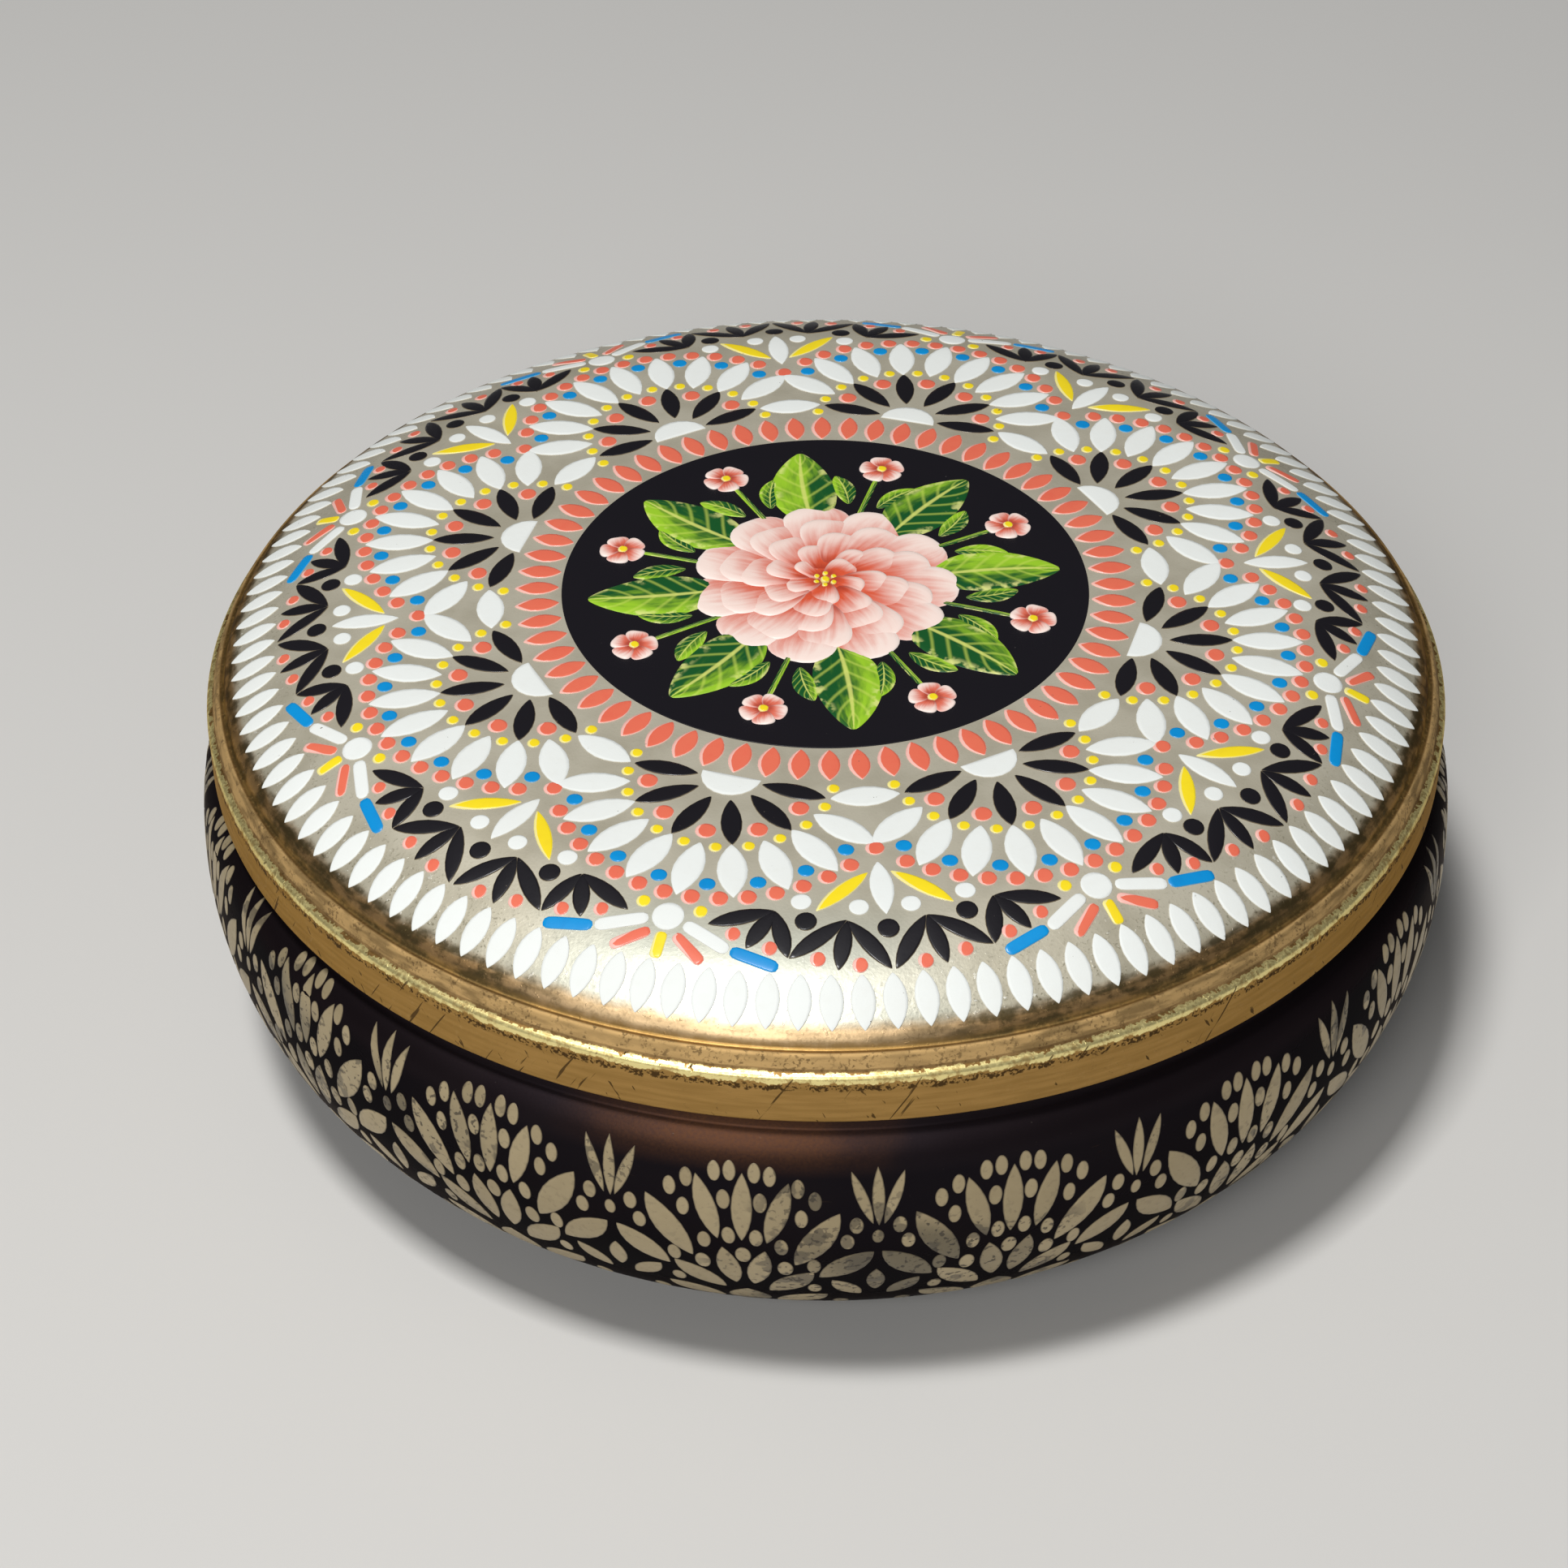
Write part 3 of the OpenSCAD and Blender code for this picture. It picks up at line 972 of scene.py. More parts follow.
def pillow_grid(nodes, given):
    """A grid from -1 to 1 that keeps each point's place as its cell, closer together towards the edges."""
    grid = nodes.add("GeometryNodeMeshGrid", {}, {
        "Size X": 2.0, "Size Y": 2.0,
        "Vertices X": given["Cells Along"] + 1, "Vertices Y": given["Cells Across"] + 1,
    })
    position = nodes.add("GeometryNodeInputPosition")
    spread = nodes.vector_math("SCALE", {0: position, "Scale": QUARTER_TURN})
    along, across, _ = nodes.vector_math("SINE", {0: spread}).parts()
    cell = nodes.vector(along, (across * QUARTER_TURN).sine(), 0)
    return stored(nodes, grid, "cell", cell, "FLOAT_VECTOR")


def ornament_tree(name, surface, sizes):
    """Repeats marked points round the axis and grows a pillow on each, laid on a surface."""
    nodes, given = new_tree(name, {
        "Marks": "Geometry", "Repeats": "Int", "First Turn": "Float", "Finish": "Material",
        "Cells Along": "Int", "Cells Across": "Int", "Bluntness": "Float",
        "Sink": "Float", "Jitter": "Float", "Seed": "Int",
        **dict.fromkeys(sizes, "Float"),
    })
    marks = repeated_marks(nodes, given)
    grid = pillow_grid(nodes, given)
    pillows = nodes.add("GeometryNodeInstanceOnPoints", {}, {"Points": marks, "Instance": grid})
    whole = nodes.add("GeometryNodeRealizeInstances", {}, {"Geometry": pillows})

    along, across, _ = named(nodes, "cell", "FLOAT_VECTOR").parts()
    long, wide, rise = named(nodes, "size", "FLOAT_VECTOR").parts()
    square, blunt, taper = named(nodes, "form", "FLOAT_VECTOR").parts()
    half, tilt, bend = named(nodes, "pose", "FLOAT_VECTOR").parts()
    turn = named(nodes, "turn")
    spin = named(nodes, "spin")
    swell = (1 - abs(along) ** square) ** blunt * (1 + taper * along)
    crown = (1 - abs(across) ** given["Bluntness"]) * (1 - abs(along) ** given["Bluntness"])
    height = crown.root() * rise * (1 + tilt * across) - given["Sink"]
    sideways = wide * swell * (across + half) / 2 + bend * long * (1 - along * along)
    local = nodes.turn(nodes.vector(along * long / 2, sideways, 0), turn)
    plan = nodes.vector_math("ADD", {0: named(nodes, "centre", "FLOAT_VECTOR"), 1: local})
    place = surface(nodes, given, plan, spin, height)
    edge = ((1 - abs(across)) * wide * swell / 2).least((1 - abs(along)) * long / 2)
    whole = stored(nodes, whole, "edge", edge)
    facing = turn + spin
    whole = stored(nodes, whole, "west", across * facing.sine() - along * facing.cosine())
    laid = nodes.add("GeometryNodeSetPosition", {}, {"Geometry": whole, "Position": place})
    nodes.add("NodeGroupOutput", {}, {"Result": finished(nodes, laid, given["Finish"], join=0.0005 * MM)})
    return nodes.tree


# Attributes that the finishes read
KEPT_MARKS = ("tone", "edge", "west", "cell", "shade")


def is_spare(attribute):
    """Whether an attribute that a tree left on a mesh is read by no finish."""
    fixed = attribute.is_required or attribute.is_internal or attribute.name in KEPT_MARKS
    return not fixed and attribute.data_type in ("FLOAT", "FLOAT_VECTOR")


def grown(name, seed, tree, values):
    """A piece made by running a tree on a seed mesh, as a plain mesh at the origin."""
    piece = bpy.data.objects.new(name, seed)
    bpy.context.scene.collection.objects.link(piece)
    modifier = piece.modifiers.new(name, "NODES")
    modifier.node_group = tree
    inputs = {s.name: s.identifier for s in tree.interface.items_tree if s.in_out == "INPUT"}
    for title, value in values.items():
        modifier[inputs[title]] = value
    graph = bpy.context.evaluated_depsgraph_get()
    result = piece.evaluated_get(graph)
    mesh = bpy.data.meshes.new_from_object(result, preserve_all_data_layers=True, depsgraph=graph)
    piece.modifiers.remove(modifier)
    piece.data = mesh
    bpy.data.meshes.remove(seed)
    mesh.name = name
    for title in [attribute.name for attribute in mesh.attributes if is_spare(attribute)]:
        mesh.attributes.remove(mesh.attributes[title])
    if not mesh.polygons:
        raise RuntimeError(f"{name} came out empty")
    return piece


def turned(name, outline, steps, face, lining):
    """A turned sheet from its closed outline, with faces pointing out of the metal."""
    points, lined = outline
    seed = bpy.data.meshes.new(name + "_outline")
    total = len(points)
    edges = [(i, (i + 1) % total) for i in range(total)]
    seed.from_pydata([(p.x, 0, p.y) for p in points], edges, [])
    seed.attributes.new("lining", "FLOAT", "POINT").data.foreach_set("value", [float(flag) for flag in lined])
    values = {"Steps": steps, "Hub": 1 * MM, "Face": face, "Lining": lining}
    piece = grown(name, seed, shared_tree("turned sheet", lathe_tree), values)
    shell = bmesh.new()
    shell.from_mesh(piece.data)
    bmesh.ops.recalc_face_normals(shell, faces=shell.faces)
    shell.to_mesh(piece.data)
    shell.free()
    return piece


# Ornament drawing, in millimetres

Mark = namedtuple("Mark", "at turn size form pose shade")
# A mark's squareness, bluntness and taper
ALMOND = (2.0, 0.88, 0.0)
LEAF = (2.0, 0.85, 0.1)
BROAD_LEAF = (2.0, 0.75, -0.2)
PETAL = (2.6, 0.5, 0.32)
ROUND = (2.0, 0.5, 0.0)
BAR = (9.0, 0.5, 0.0)
# A mark's shift to one half, tilt and bend
FLAT_POSE = (0.0, 0.0, 0.0)
HALF_POSE = (1.0, 0.0, 0.0)


def ray(bearing, reach, centre=(0, 0)):
    """A point at a bearing in degrees from straight ahead, positive to the right."""
    turn = math.radians(bearing)
    return Vector(centre) + reach * Vector((math.sin(turn), math.cos(turn)))


def stroke(base, tip, width, form=ALMOND, pose=FLAT_POSE, shade=0.0, rise=1.0):
    """A mark drawn from one point to another."""
    base, tip = Vector(base), Vector(tip)
    way = tip - base
    return Mark((base + tip) / 2, math.atan2(way.y, way.x), (way.length, width, rise), form, pose, shade)


def dot(at, radius, stretch=1.0, turn=0.0, rise=1.0):
    """A round mark, or an oval one that is longer by the stretch along its turn."""
    return Mark(Vector(at), turn, (2 * radius * stretch, 2 * radius, rise), ROUND, FLAT_POSE, 0.0)


def half_moon(at, radius):
    """Half a disc with its flat side towards the middle."""
    return Mark(Vector(at), 0.0, (2 * radius, radius, 1.0), ROUND, HALF_POSE, 0.0)


def both_sides(marks):
    """The marks and their mirror images across the axis."""
    mirrored = []
    for m in marks:
        half, tilt, bend = m.pose
        at = Vector((-m.at.x, m.at.y))
        mirrored.append(m._replace(at=at, turn=math.pi - m.turn, pose=(half, -tilt, -bend)))
    return [*marks, *mirrored]


def round_axis(marks, number, first=0.0):
    """The marks repeated round the middle."""
    copies = []
    for i in range(number):
        spin = first + FULL_TURN * i / number
        turned_at = Matrix.Rotation(spin, 2)
        copies += [m._replace(at=turned_at @ m.at, turn=m.turn + spin) for m in marks]
    return copies


def moved(marks, by):
    """The marks moved in the plan."""
    return [m._replace(at=m.at + by) for m in marks]


def marks_mesh(name, marks, rise):
    """The marks as points in metres, with their sizes and forms as attributes."""
    seed = bpy.data.meshes.new(name + "_marks")
    seed.from_pydata([(m.at.x * MM, m.at.y * MM, 0) for m in marks], [], [])
    for title in ("turn", "shade"):
        values = [getattr(m, title) for m in marks]
        seed.attributes.new(title, "FLOAT", "POINT").data.foreach_set("value", values)
    scaled = [m._replace(size=(m.size[0] * MM, m.size[1] * MM, m.size[2] * rise)) for m in marks]
    for title in ("size", "form", "pose"):
        flat = [number for m in scaled for number in getattr(m, title)]
        seed.attributes.new(title, "FLOAT_VECTOR", "POINT").data.foreach_set("vector", flat)
    return seed


# Middle of a fan, and the degrees between its petals
FAN_AT = (0, 48.6)
FAN_STEP = 18
# One petal of the ring round the medallion, and one of the border
RING_PETAL = stroke((0, 40.5), (0, 47.3), 3.3)
BORDER_PETAL = stroke((0, 83.8), (0, 90.8), 3.45)


def fan_marks():
    """One fan of the lid's mosaic, by colour."""

    def fan(bearing, reach):
        return ray(bearing, reach, FAN_AT)

    white = [half_moon((0, 47.9), 4.4), stroke(fan(0, 14.2), fan(0, 25.1), 4.35)]
    white += both_sides([stroke(fan(FAN_STEP * k, 14.2), fan(FAN_STEP * k, 24.9), 4.4) for k in (1, 2, 3, 4)])
    coral = [dot(fan(0, 11.7), 1.5), *both_sides([dot(fan(b, 11.8), 1.5) for b in (36, 72)])]
    coral += both_sides([dot(fan(FAN_STEP * (k + 0.5) / 2, 25), 1.36) for k in range(7)])
    return {
        "white": white,
        "black": both_sides([stroke(fan(b, 4.7), fan(b, 14.3), 3.1, LEAF) for b in (18, 54, 88)]),
        "coral": coral,
        "yellow": both_sides([dot(fan(b, 14.8), 0.93) for b in (9, 27, 45, 63, 81, 97)]),
        "blue": both_sides([dot(fan(FAN_STEP * (k + 0.5), 22.4), 1.17) for k in range(4)]),
    }


# Black sprigs in the gap between two fans: the degrees off its middle and the reach of root and tips
SPRIGS = (
    (11.7, 74.3, ((18.3, 77.7), (14.05, 80.7), (10.0, 81.7))),
    (4.1, 75.7, ((9.9, 81.7), (5.15, 83.3), (0.2, 83.4))),
)
# Coral dots between those tips, in the same way
SPRIG_DOTS = ((3.1, 82.6), (7.1, 81.7), (11.8, 80.4), (15.6, 78.7))


def lid_marks(fans):
    """One fan of the lid's mosaic, the gap beside it and the star over it, by colour."""
    marks = fan_marks()
    white, black, coral, yellow, blue = marks.values()

    def beside(off, reach):
        return ray(180 / fans + off, reach)

    white += [stroke(beside(-5.6, 51.2), beside(5.6, 51.2), 4.3), stroke(beside(0, 64.8), beside(0, 75), 3.4)]
    coral.append(dot(beside(0, 62), 1.36))
    black.append(dot(beside(0, 77.3), 1.55))
    for side in (-1, 1):
        white += [dot(beside(side * 9.0, 72.5), 1.45), dot(beside(side * 2.8, 73.5), 1.4)]
        yellow.append(stroke(beside(side * 7.4, 74.1), beside(side * 1.3, 66.9), 2.4))
        black.append(dot(beside(side * 8.4, 75.9), 1.55))
        coral += [dot(beside(side * b, r), 1.08) for b, r in SPRIG_DOTS]
        for root, reach, tips in SPRIGS:
            black += [stroke(beside(side * root, reach), beside(side * b, r), 2.55, LEAF) for b, r in tips]

    white.append(dot((0, 77.4), 2.25))
    white += both_sides([stroke((2.5, 78.2), (9.6, 80.7), 2.0, BAR)])
    coral += both_sides([stroke((1.7, 80), (6.6, 83.2), 1.7, BAR)])
    yellow += [stroke((0, 79.9), (0, 83.8), 1.75, BAR), *both_sides([dot((4.1, 75.7), 1.0)])]
    blue += both_sides([stroke((9.8, 80.7), (16.9, 81.4), 1.8, BAR)])
    return marks


def seed_dot(at, radius, stretch):
    """An upright oval of the body's print."""
    return dot(at, radius, stretch, QUARTER_TURN)


def body_marks(pitch):
    """One sprig of the body's print and the fan beside it, on the unrolled side."""
    sprig_axis = [
        stroke((0, 8.4), (0, 19), 1.75),
        seed_dot((0, 6.15), 0.8, 1.7),
        stroke((0, -9.3), (0, -2), 2.6),
    ]
    sprig = [
        stroke((0.8, 8.7), (3.45, 18.3), 1.65),
        seed_dot((2.87, 8.4), 0.95, 1.7),
        seed_dot((4.05, 5.0), 0.95, 1.7),
        stroke((0.6, 2.8), (7.7, -4.6), 4.3),
        seed_dot((8.5, -1.2), 0.95, 2.0),
        stroke((1.8, -11.5), (6.1, -5.5), 3.2),
        seed_dot((4.6, -17.4), 1.2, 1.8),
    ]
    fan_axis = [
        stroke((0, 4.05), (0, 17), 2.9),
        seed_dot((0, 0.65), 1.1, 1.7),
        stroke((0, -21), (0, -11), 6.4),
    ]
    outer_seeds = ((1.65, 17.1), (3.7, 16.75), (7.45, 14.95), (9.7, 12.9), (7.9, 9.5))
    inner_seeds = ((2.45, 11.95), (1.85, 4.9), (5.2, 3.25))
    fan = [
        stroke((3.45, 3.9), (6.05, 15.95), 3),
        stroke((6.8, -1), (13.15, 10.7), 4.1),
        stroke((1.3, -8.4), (2.85, 2.1), 3.3),
        stroke((3.1, -11), (9.6, -3.1), 4.2),
        stroke((3.8, -18.5), (11.5, -12), 5.2),
        *(seed_dot(at, 0.9, 1.9) for at in outer_seeds),
        *(seed_dot(at, 0.95, 1.9) for at in inner_seeds),
        seed_dot((5.65, -2.2), 1.1, 1.8),
        seed_dot((9.6, -8.8), 1.0, 1.7),
    ]
    return sprig_axis + both_sides(sprig) + moved(fan_axis + both_sides(fan), Vector((pitch / 2, 0)))


# The flower's rings of petals: how many, their inner and outer reach and their width
FLOWER_RINGS = (
    (11, 6.4, 20.6, 10.2), (10, 4.9, 17, 8.9), (8, 3.2, 13.3, 7.9), (7, 1.9, 9.8, 6.5), (5, 0.5, 6.3, 5.1),
)
# Turn from one ring to the next, and the tilts of the petals
RING_TWIST = 0.4
PETAL_POSE = (0.0, 0.35, 0.0)
BLOSSOM_POSE = (0.0, 0.3, 0.0)
BLOSSOMS = 8
BLOSSOM_AT = Vector((0, 32.5))


def flower_marks():
    """Petals of the middle flower, ring on ring, and of the small blossoms round it."""
    petals = []
    for layer, (number, inner, outer, width) in enumerate(FLOWER_RINGS):
        shade = layer / len(FLOWER_RINGS)
        petal = stroke((0, inner), (0, outer), width, PETAL, PETAL_POSE, shade, rise=layer + 2.0)
        petals += round_axis([petal], number, RING_TWIST * layer)
    small = stroke((0, 0.5), (0, 3.6), 3.3, PETAL, BLOSSOM_POSE, shade=0.1, rise=2.0)
    blossom = moved(round_axis([small], 5, first=0.3), BLOSSOM_AT)
    return petals + round_axis(blossom, BLOSSOMS)


def leaf_marks():
    """Leaves and stems of the wreath round the middle flower."""
    wreath = [
        stroke((0, 17), (0, 30), 0.9, BAR),
        *both_sides([stroke(ray(6, 21.5), ray(13, 29.5), 3.6, LEAF, (0.0, 0.0, 0.05))]),
    ]
    broad = stroke((0, 15.5), (0, 36.4), 10.4, BROAD_LEAF, (0.0, 0.0, 0.03), rise=1.6)
    return [*round_axis(wreath, BLOSSOMS), *round_axis([broad], BLOSSOMS, math.pi / BLOSSOMS)]


def stamen_marks():
    """Yellow hearts of the flower and its blossoms."""
    heart = [dot((0, 0), 0.75, rise=8.0), *round_axis([dot((0, 1.5), 0.5, rise=7.6)], 6)]
    return heart + round_axis([dot(BLOSSOM_AT, 0.8, rise=3.4)], BLOSSOMS)


# Pieces on the tin

# How finely a mark is divided, and how blunt its sides are
COARSE_CELLS = {"Cells Along": 10, "Cells Across": 6, "Bluntness": 36.0}
FINE_CELLS = {"Cells Along": 20, "Cells Across": 14, "Bluntness": 8.0}
# How deep the marks sink, how far they wobble and the seed of what is random
LID_SETTING = {"Sink": 0.01 * MM, "Jitter": 0.02, "Seed": 5}
BODY_SETTING = {"Sink": 0.004 * MM, "Jitter": 0.03, "Seed": 11}


def dressed(piece, body, replaced=None):
    """Lets a piece ride on its body and hides the node that it stands for."""
    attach(piece, body)
    if replaced:
        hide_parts(replaced)


def dome_sizes(lid):
    """Sizes of the dome that the lid's ornament lies on."""
    form = lid_form(lid)
    return {
        "Ball": form.ball, "Ball Level": form.crown.y, "Crown Reach": lid.crown,
        "Brow": form.brow_radius, "Brow Reach": form.brow.x, "Brow Level": form.brow.y,
    }


def side_sizes(body, sizes):
    """Sizes of the side that the body's print lies on, and of the print's drift."""
    form = body_form(body)
    shoulder_from = bearing_of(form.shoulder - form.high)
    shoulder_start = form.high_radius * shoulder_from
    return {
        "Belly": body.belly, "Level": body.belly_height, "Low": form.low_radius, "Low Reach": form.low.x,
        "High": form.high_radius, "High Reach": form.high.x, "Shoulder": body.shoulder,
        "Shoulder Reach": form.shoulder.x, "Shoulder Level": form.shoulder.y,
        "Shoulder Start": shoulder_start, "Shoulder Shift": shoulder_from - shoulder_start / body.shoulder,
        "Drift": sizes.print_drift, "Drift Bearing": sizes.drift_bearing, "Drift Slip": sizes.drift_slip,
        "Drift Least": sizes.drift_least,
    }


def lid_ornament(scene, name, marks, repeats, turn, rise, finish, cells):
    """Raised marks laid on the lid's dome from a first bearing."""
    sizes = dome_sizes(scene.tin_lid)
    tree = shared_tree("lid ornament", lambda title: ornament_tree(title, on_dome, sizes))
    piece = grown(name, marks_mesh(name, marks, rise), tree, {
        "Repeats": repeats, "First Turn": turn - QUARTER_TURN, "Finish": finish,
        **cells, **LID_SETTING, **sizes,
    })
    dressed(piece, "lid")


# Operators

class TIN_OT_stage(bpy.types.Operator):
    """Make the pale floor, the soft light and the camera"""

    bl_idname = "tin.stage"
    bl_label = "Stage"

    def execute(self, context):
        scene = context.scene
        stage = scene.tin_stage
        target = Vector((0, 0, scene.tin_lid.base))
        self.make_floor(scene, stage.floor_half)
        self.make_room(scene, stage)
        self.make_lamp(scene, "key_lamp", stage.key_place, target, stage.key_size, stage.key_power)
        self.make_lamp(scene, "fill_lamp", stage.fill_place, target, stage.fill_size, stage.fill_power)
        self.make_camera(scene, stage, target)
        scene.view_settings.view_transform = "Standard"
        return {"FINISHED"}

    def make_floor(self, scene, half):
        """A wide floor that the tin stands on."""
        mesh = bpy.data.meshes.new("floor")
        corners = [(-half, -half, 0), (half, -half, 0), (half, half, 0), (-half, half, 0)]
        mesh.from_pydata(corners, [], [(0, 1, 2, 3)])
        floor = bpy.data.objects.new("floor", mesh)
        scene.collection.objects.link(floor)
        mesh.materials.append(pale_floor("pale_floor", scene.tin_colours))

    def make_room(self, scene, stage):
        """An even room, pale where the camera sees it."""
        world = bpy.data.worlds.new("room")
        world.use_nodes = True
        world.node_tree.nodes.clear()
        nodes = Nodes(world.node_tree)
        seen = nodes.add("ShaderNodeLightPath")["Is Camera Ray"]
        strength = stage.room + seen * (stage.room_seen - stage.room)
        light = nodes.add("ShaderNodeBackground", {}, {"Color": scene.tin_colours.room, "Strength": strength})
        nodes.add("ShaderNodeOutputWorld", {}, {"Surface": light})
        scene.world = world

    def make_lamp(self, scene, name, place, target, side, power):
        """A square soft lamp that faces the tin."""
        data = bpy.data.lights.new(name, "AREA")
        data.size = side
        data.energy = power
        lamp = bpy.data.objects.new(name, data)
        lamp.location = place
        lamp.rotation_euler = (Vector(place) - target).to_track_quat("Z", "Y").to_euler()
        scene.collection.objects.link(lamp)

    def make_camera(self, scene, stage, target):
        """A camera at the photograph's angle, for a square frame."""
        data = bpy.data.cameras.new("camera")
        data.lens = stage.lens
        data.sensor_width = stage.sensor
        data.sensor_fit = "HORIZONTAL"
        data.clip_start = stage.near
        camera = bpy.data.objects.new("camera", data)
        back = Vector((0, -math.cos(stage.elevation), math.sin(stage.elevation)))
        camera.matrix_world = (
            Matrix.Translation(target + back * stage.distance)
            @ Matrix.Rotation(QUARTER_TURN - stage.elevation, 4, "X")
            @ Matrix.Rotation(stage.pan, 4, "Y")
            @ Matrix.Rotation(-stage.tilt, 4, "X")
            @ Matrix.Rotation(stage.roll, 4, "Z")
        )
        scene.collection.objects.link(camera)
        scene.camera = camera


class TIN_OT_lid_sheet(bpy.types.Operator):
    """Turn the lid's drawn sheet"""

    bl_idname = "tin.lid_sheet"
    bl_label = "Lid sheet"

    def execute(self, context):
        lid, colours = context.scene.tin_lid, context.scene.tin_colours
        form = lid_form(lid)
        face = lid_metal("lid_metal", lid, form, colours)
        lining = lacquered_tin("lid_lacquer", colours)
        piece = turned("lid_sheet", lid_outline(lid, form), lid.steps, face, lining)
        dressed(piece, "lid", "lid")
        return {"FINISHED"}


class TIN_OT_body_sheet(bpy.types.Operator):
    """Turn the body's drawn sheet"""

    bl_idname = "tin.body_sheet"
    bl_label = "Body sheet"

    def execute(self, context):
        body, colours = context.scene.tin_body, context.scene.tin_colours
        face = body_print("body_black", body, colours)
        lining = lacquered_tin("body_lacquer", colours)
        piece = turned("body_sheet", body_outline(body, body_form(body)), body.steps, face, lining)
        dressed(piece, "body", "body")
        return {"FINISHED"}


class TIN_OT_lid_enamels(bpy.types.Operator):
    """Raise the mosaic of coloured enamel on the lid"""

    bl_idname = "tin.lid_enamels"
    bl_label = "Lid enamels"

    def execute(self, context):
        scene = context.scene
        sizes = scene.tin_ornament
        finishes = self.finishes(scene.tin_colours)
        groups = [
            (f"lid_{colour}_enamel", colour, marks, sizes.fans, sizes.lid_turn)
            for colour, marks in lid_marks(sizes.fans).items()
        ]
        groups.append(("lid_coral_ring", "coral", [RING_PETAL], sizes.ring_petals, sizes.lid_turn))
        groups.append(("lid_border", "white", [BORDER_PETAL], sizes.border_petals, sizes.border_turn))
        for name, colour, marks, repeats, turn in groups:
            lid_ornament(scene, name, marks, repeats, turn, sizes.enamel_rise, finishes[colour], COARSE_CELLS)
        return {"FINISHED"}

    def finishes(self, colours):
        """One enamel for each colour, by its rim's colour and width, dull colour, slip and gloss."""
        looks = {
            # The white rim is painted shade and the black rim a painted glint at the raised edge
            "white": (linear(206, 202, 190), 0.05 * MM, linear(230, 231, 225), 0.0, 0.0),
            "black": (linear(120, 108, 86), 0.09 * MM, linear(14, 12, 17), 0.0, 0.3),
            "coral": (colours.pink, 0.1 * MM, linear(230, 100, 78), 0.42 * MM, 0.3),
            "yellow": (linear(244, 232, 150), 0.1 * MM, linear(240, 208, 34), 0.3 * MM, 0.3),
            "blue": (linear(90, 160, 206), 0.08 * MM, linear(0, 126, 196), 0.0, 0.3),
        }
        return {name: enamel(f"{name}_enamel", getattr(colours, name), *look) for name, look in looks.items()}


class TIN_OT_lid_medallion(bpy.types.Operator):
    """Lay the black medallion on the crown"""

    bl_idname = "tin.lid_medallion"
    bl_label = "Lid medallion"

    def execute(self, context):
        scene = context.scene
        lid, sizes = scene.tin_lid, scene.tin_ornament
        black = medallion_black("medallion_black", scene.tin_colours)
        outline = medallion_outline(lid_form(lid), sizes.medallion, sizes.medallion_rise)
        dressed(turned("lid_medallion", outline, lid.steps, black, black), "lid")
        return {"FINISHED"}


class TIN_OT_lid_flower(bpy.types.Operator):
    """Paint the flower and its wreath on the medallion"""

    bl_idname = "tin.lid_flower"
    bl_label = "Lid flower"

    def execute(self, context):
        scene = context.scene
        colours, sizes = scene.tin_colours, scene.tin_ornament
        medallion_layers = sizes.medallion_rise / sizes.paint_rise
        leaf = painted_leaf("leaf_paint", colours.leaf_dark, colours.leaf_light)
        petal = painted_petal("petal_paint", colours.petal_pale, colours.petal_deep)
        layers = {
            "lid_leaves": (leaf_marks(), leaf),
            "lid_petals": (flower_marks(), petal),
            "lid_stamens": (stamen_marks(), bpy.data.materials["yellow_enamel"]),
        }
        for name, (marks, finish) in layers.items():
            raised = [m._replace(size=(*m.size[:2], m.size[2] + medallion_layers)) for m in marks]
            lid_ornament(scene, name, raised, 1, sizes.lid_turn, sizes.paint_rise, finish, FINE_CELLS)
        return {"FINISHED"}


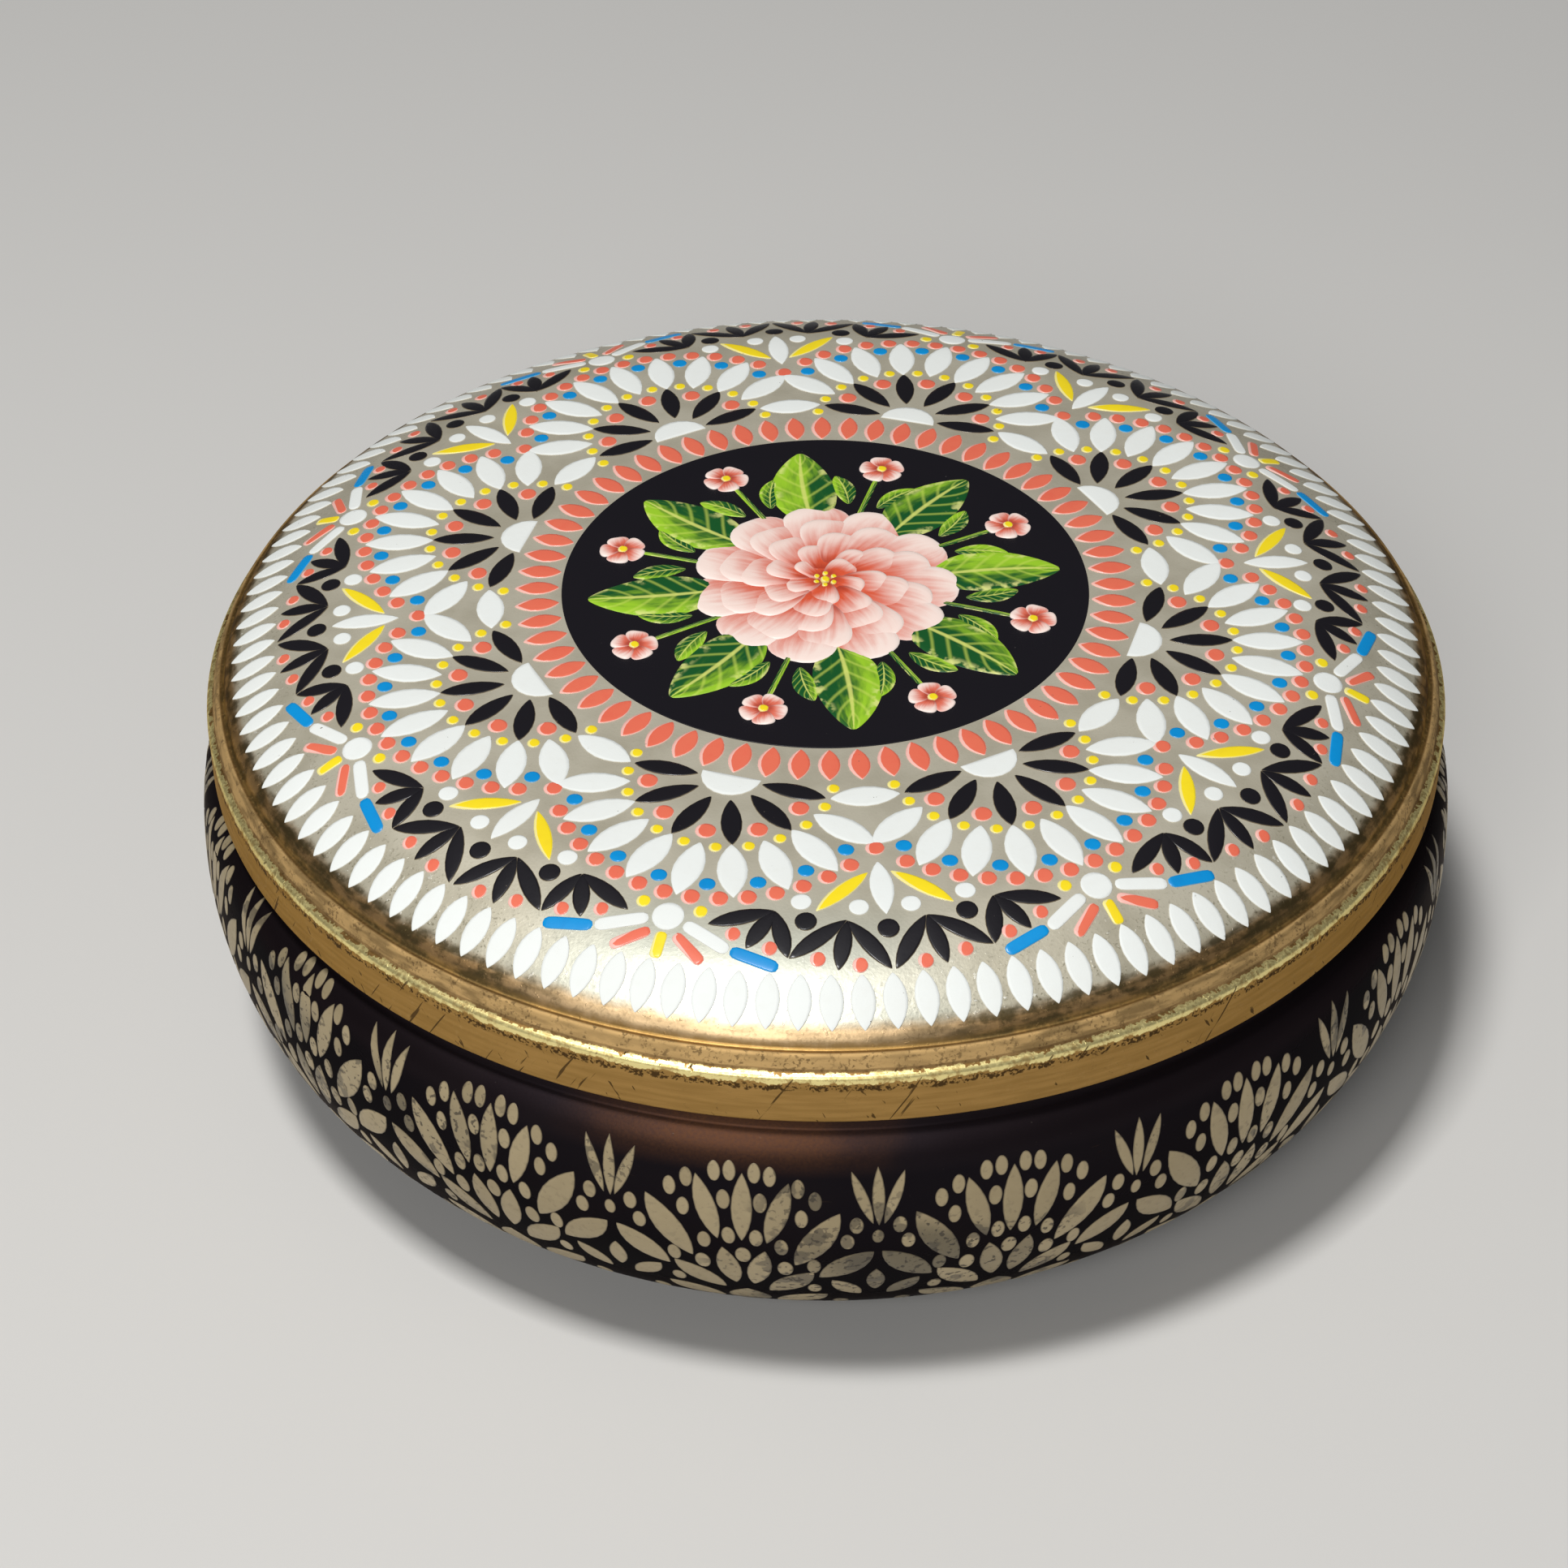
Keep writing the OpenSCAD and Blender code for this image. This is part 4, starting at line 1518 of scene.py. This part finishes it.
class TIN_OT_body_petals(bpy.types.Operator):
    """Print the petals round the body"""

    bl_idname = "tin.body_petals"
    bl_label = "Body petals"

    def execute(self, context):
        scene = context.scene
        body, ornament = scene.tin_body, scene.tin_ornament
        sizes = side_sizes(body, ornament)
        tree = shared_tree("body ornament", lambda title: ornament_tree(title, on_side, sizes))
        pitch = FULL_TURN * body.belly / ornament.body_fans / MM
        seed = marks_mesh("body_petals", body_marks(pitch), ornament.print_rise)
        piece = grown("body_petals", seed, tree, {
            "Repeats": ornament.body_fans, "First Turn": ornament.body_turn,
            "Finish": printed_petal("petal_print", scene.tin_colours),
            **COARSE_CELLS, **BODY_SETTING, **sizes,
        })
        dressed(piece, "body")
        return {"FINISHED"}


class TIN_PT_workshop(bpy.types.Panel):
    """Lists the tin's pieces and the sizes and colours behind them"""

    bl_label = "Decorative tin"
    bl_space_type = "VIEW_3D"
    bl_region_type = "UI"
    bl_category = "Tin"

    def draw(self, context):
        layout = self.layout
        for piece in PIECES:
            layout.operator(piece.bl_idname)
        for title in GROUPS:
            group = getattr(context.scene, title)
            box = layout.box()
            box.label(text=group.__doc__)
            for name in group.__annotations__:
                box.prop(group, name)


PIECES = (
    TIN_OT_stage, TIN_OT_body_sheet, TIN_OT_body_petals, TIN_OT_lid_sheet, TIN_OT_lid_enamels,
    TIN_OT_lid_medallion, TIN_OT_lid_flower,
)
GROUPS = {
    "tin_lid": TinLid, "tin_body": TinBody, "tin_ornament": TinOrnament, "tin_colours": TinColours,
    "tin_stage": TinStage,
}


def register():
    for title, group in GROUPS.items():
        bpy.utils.register_class(group)
        setattr(bpy.types.Scene, title, PointerProperty(type=group))
    for piece in (*PIECES, TIN_PT_workshop):
        bpy.utils.register_class(piece)


def unregister():
    for piece in (TIN_PT_workshop, *reversed(PIECES)):
        bpy.utils.unregister_class(piece)
    for title, group in GROUPS.items():
        delattr(bpy.types.Scene, title)
        bpy.utils.unregister_class(group)


def main():
    """Registers the classes and makes every piece in order."""
    register()
    for piece in PIECES:
        family, name = piece.bl_idname.split(".")
        getattr(getattr(bpy.ops, family), name)()


if __name__ == "__main__":
    main()
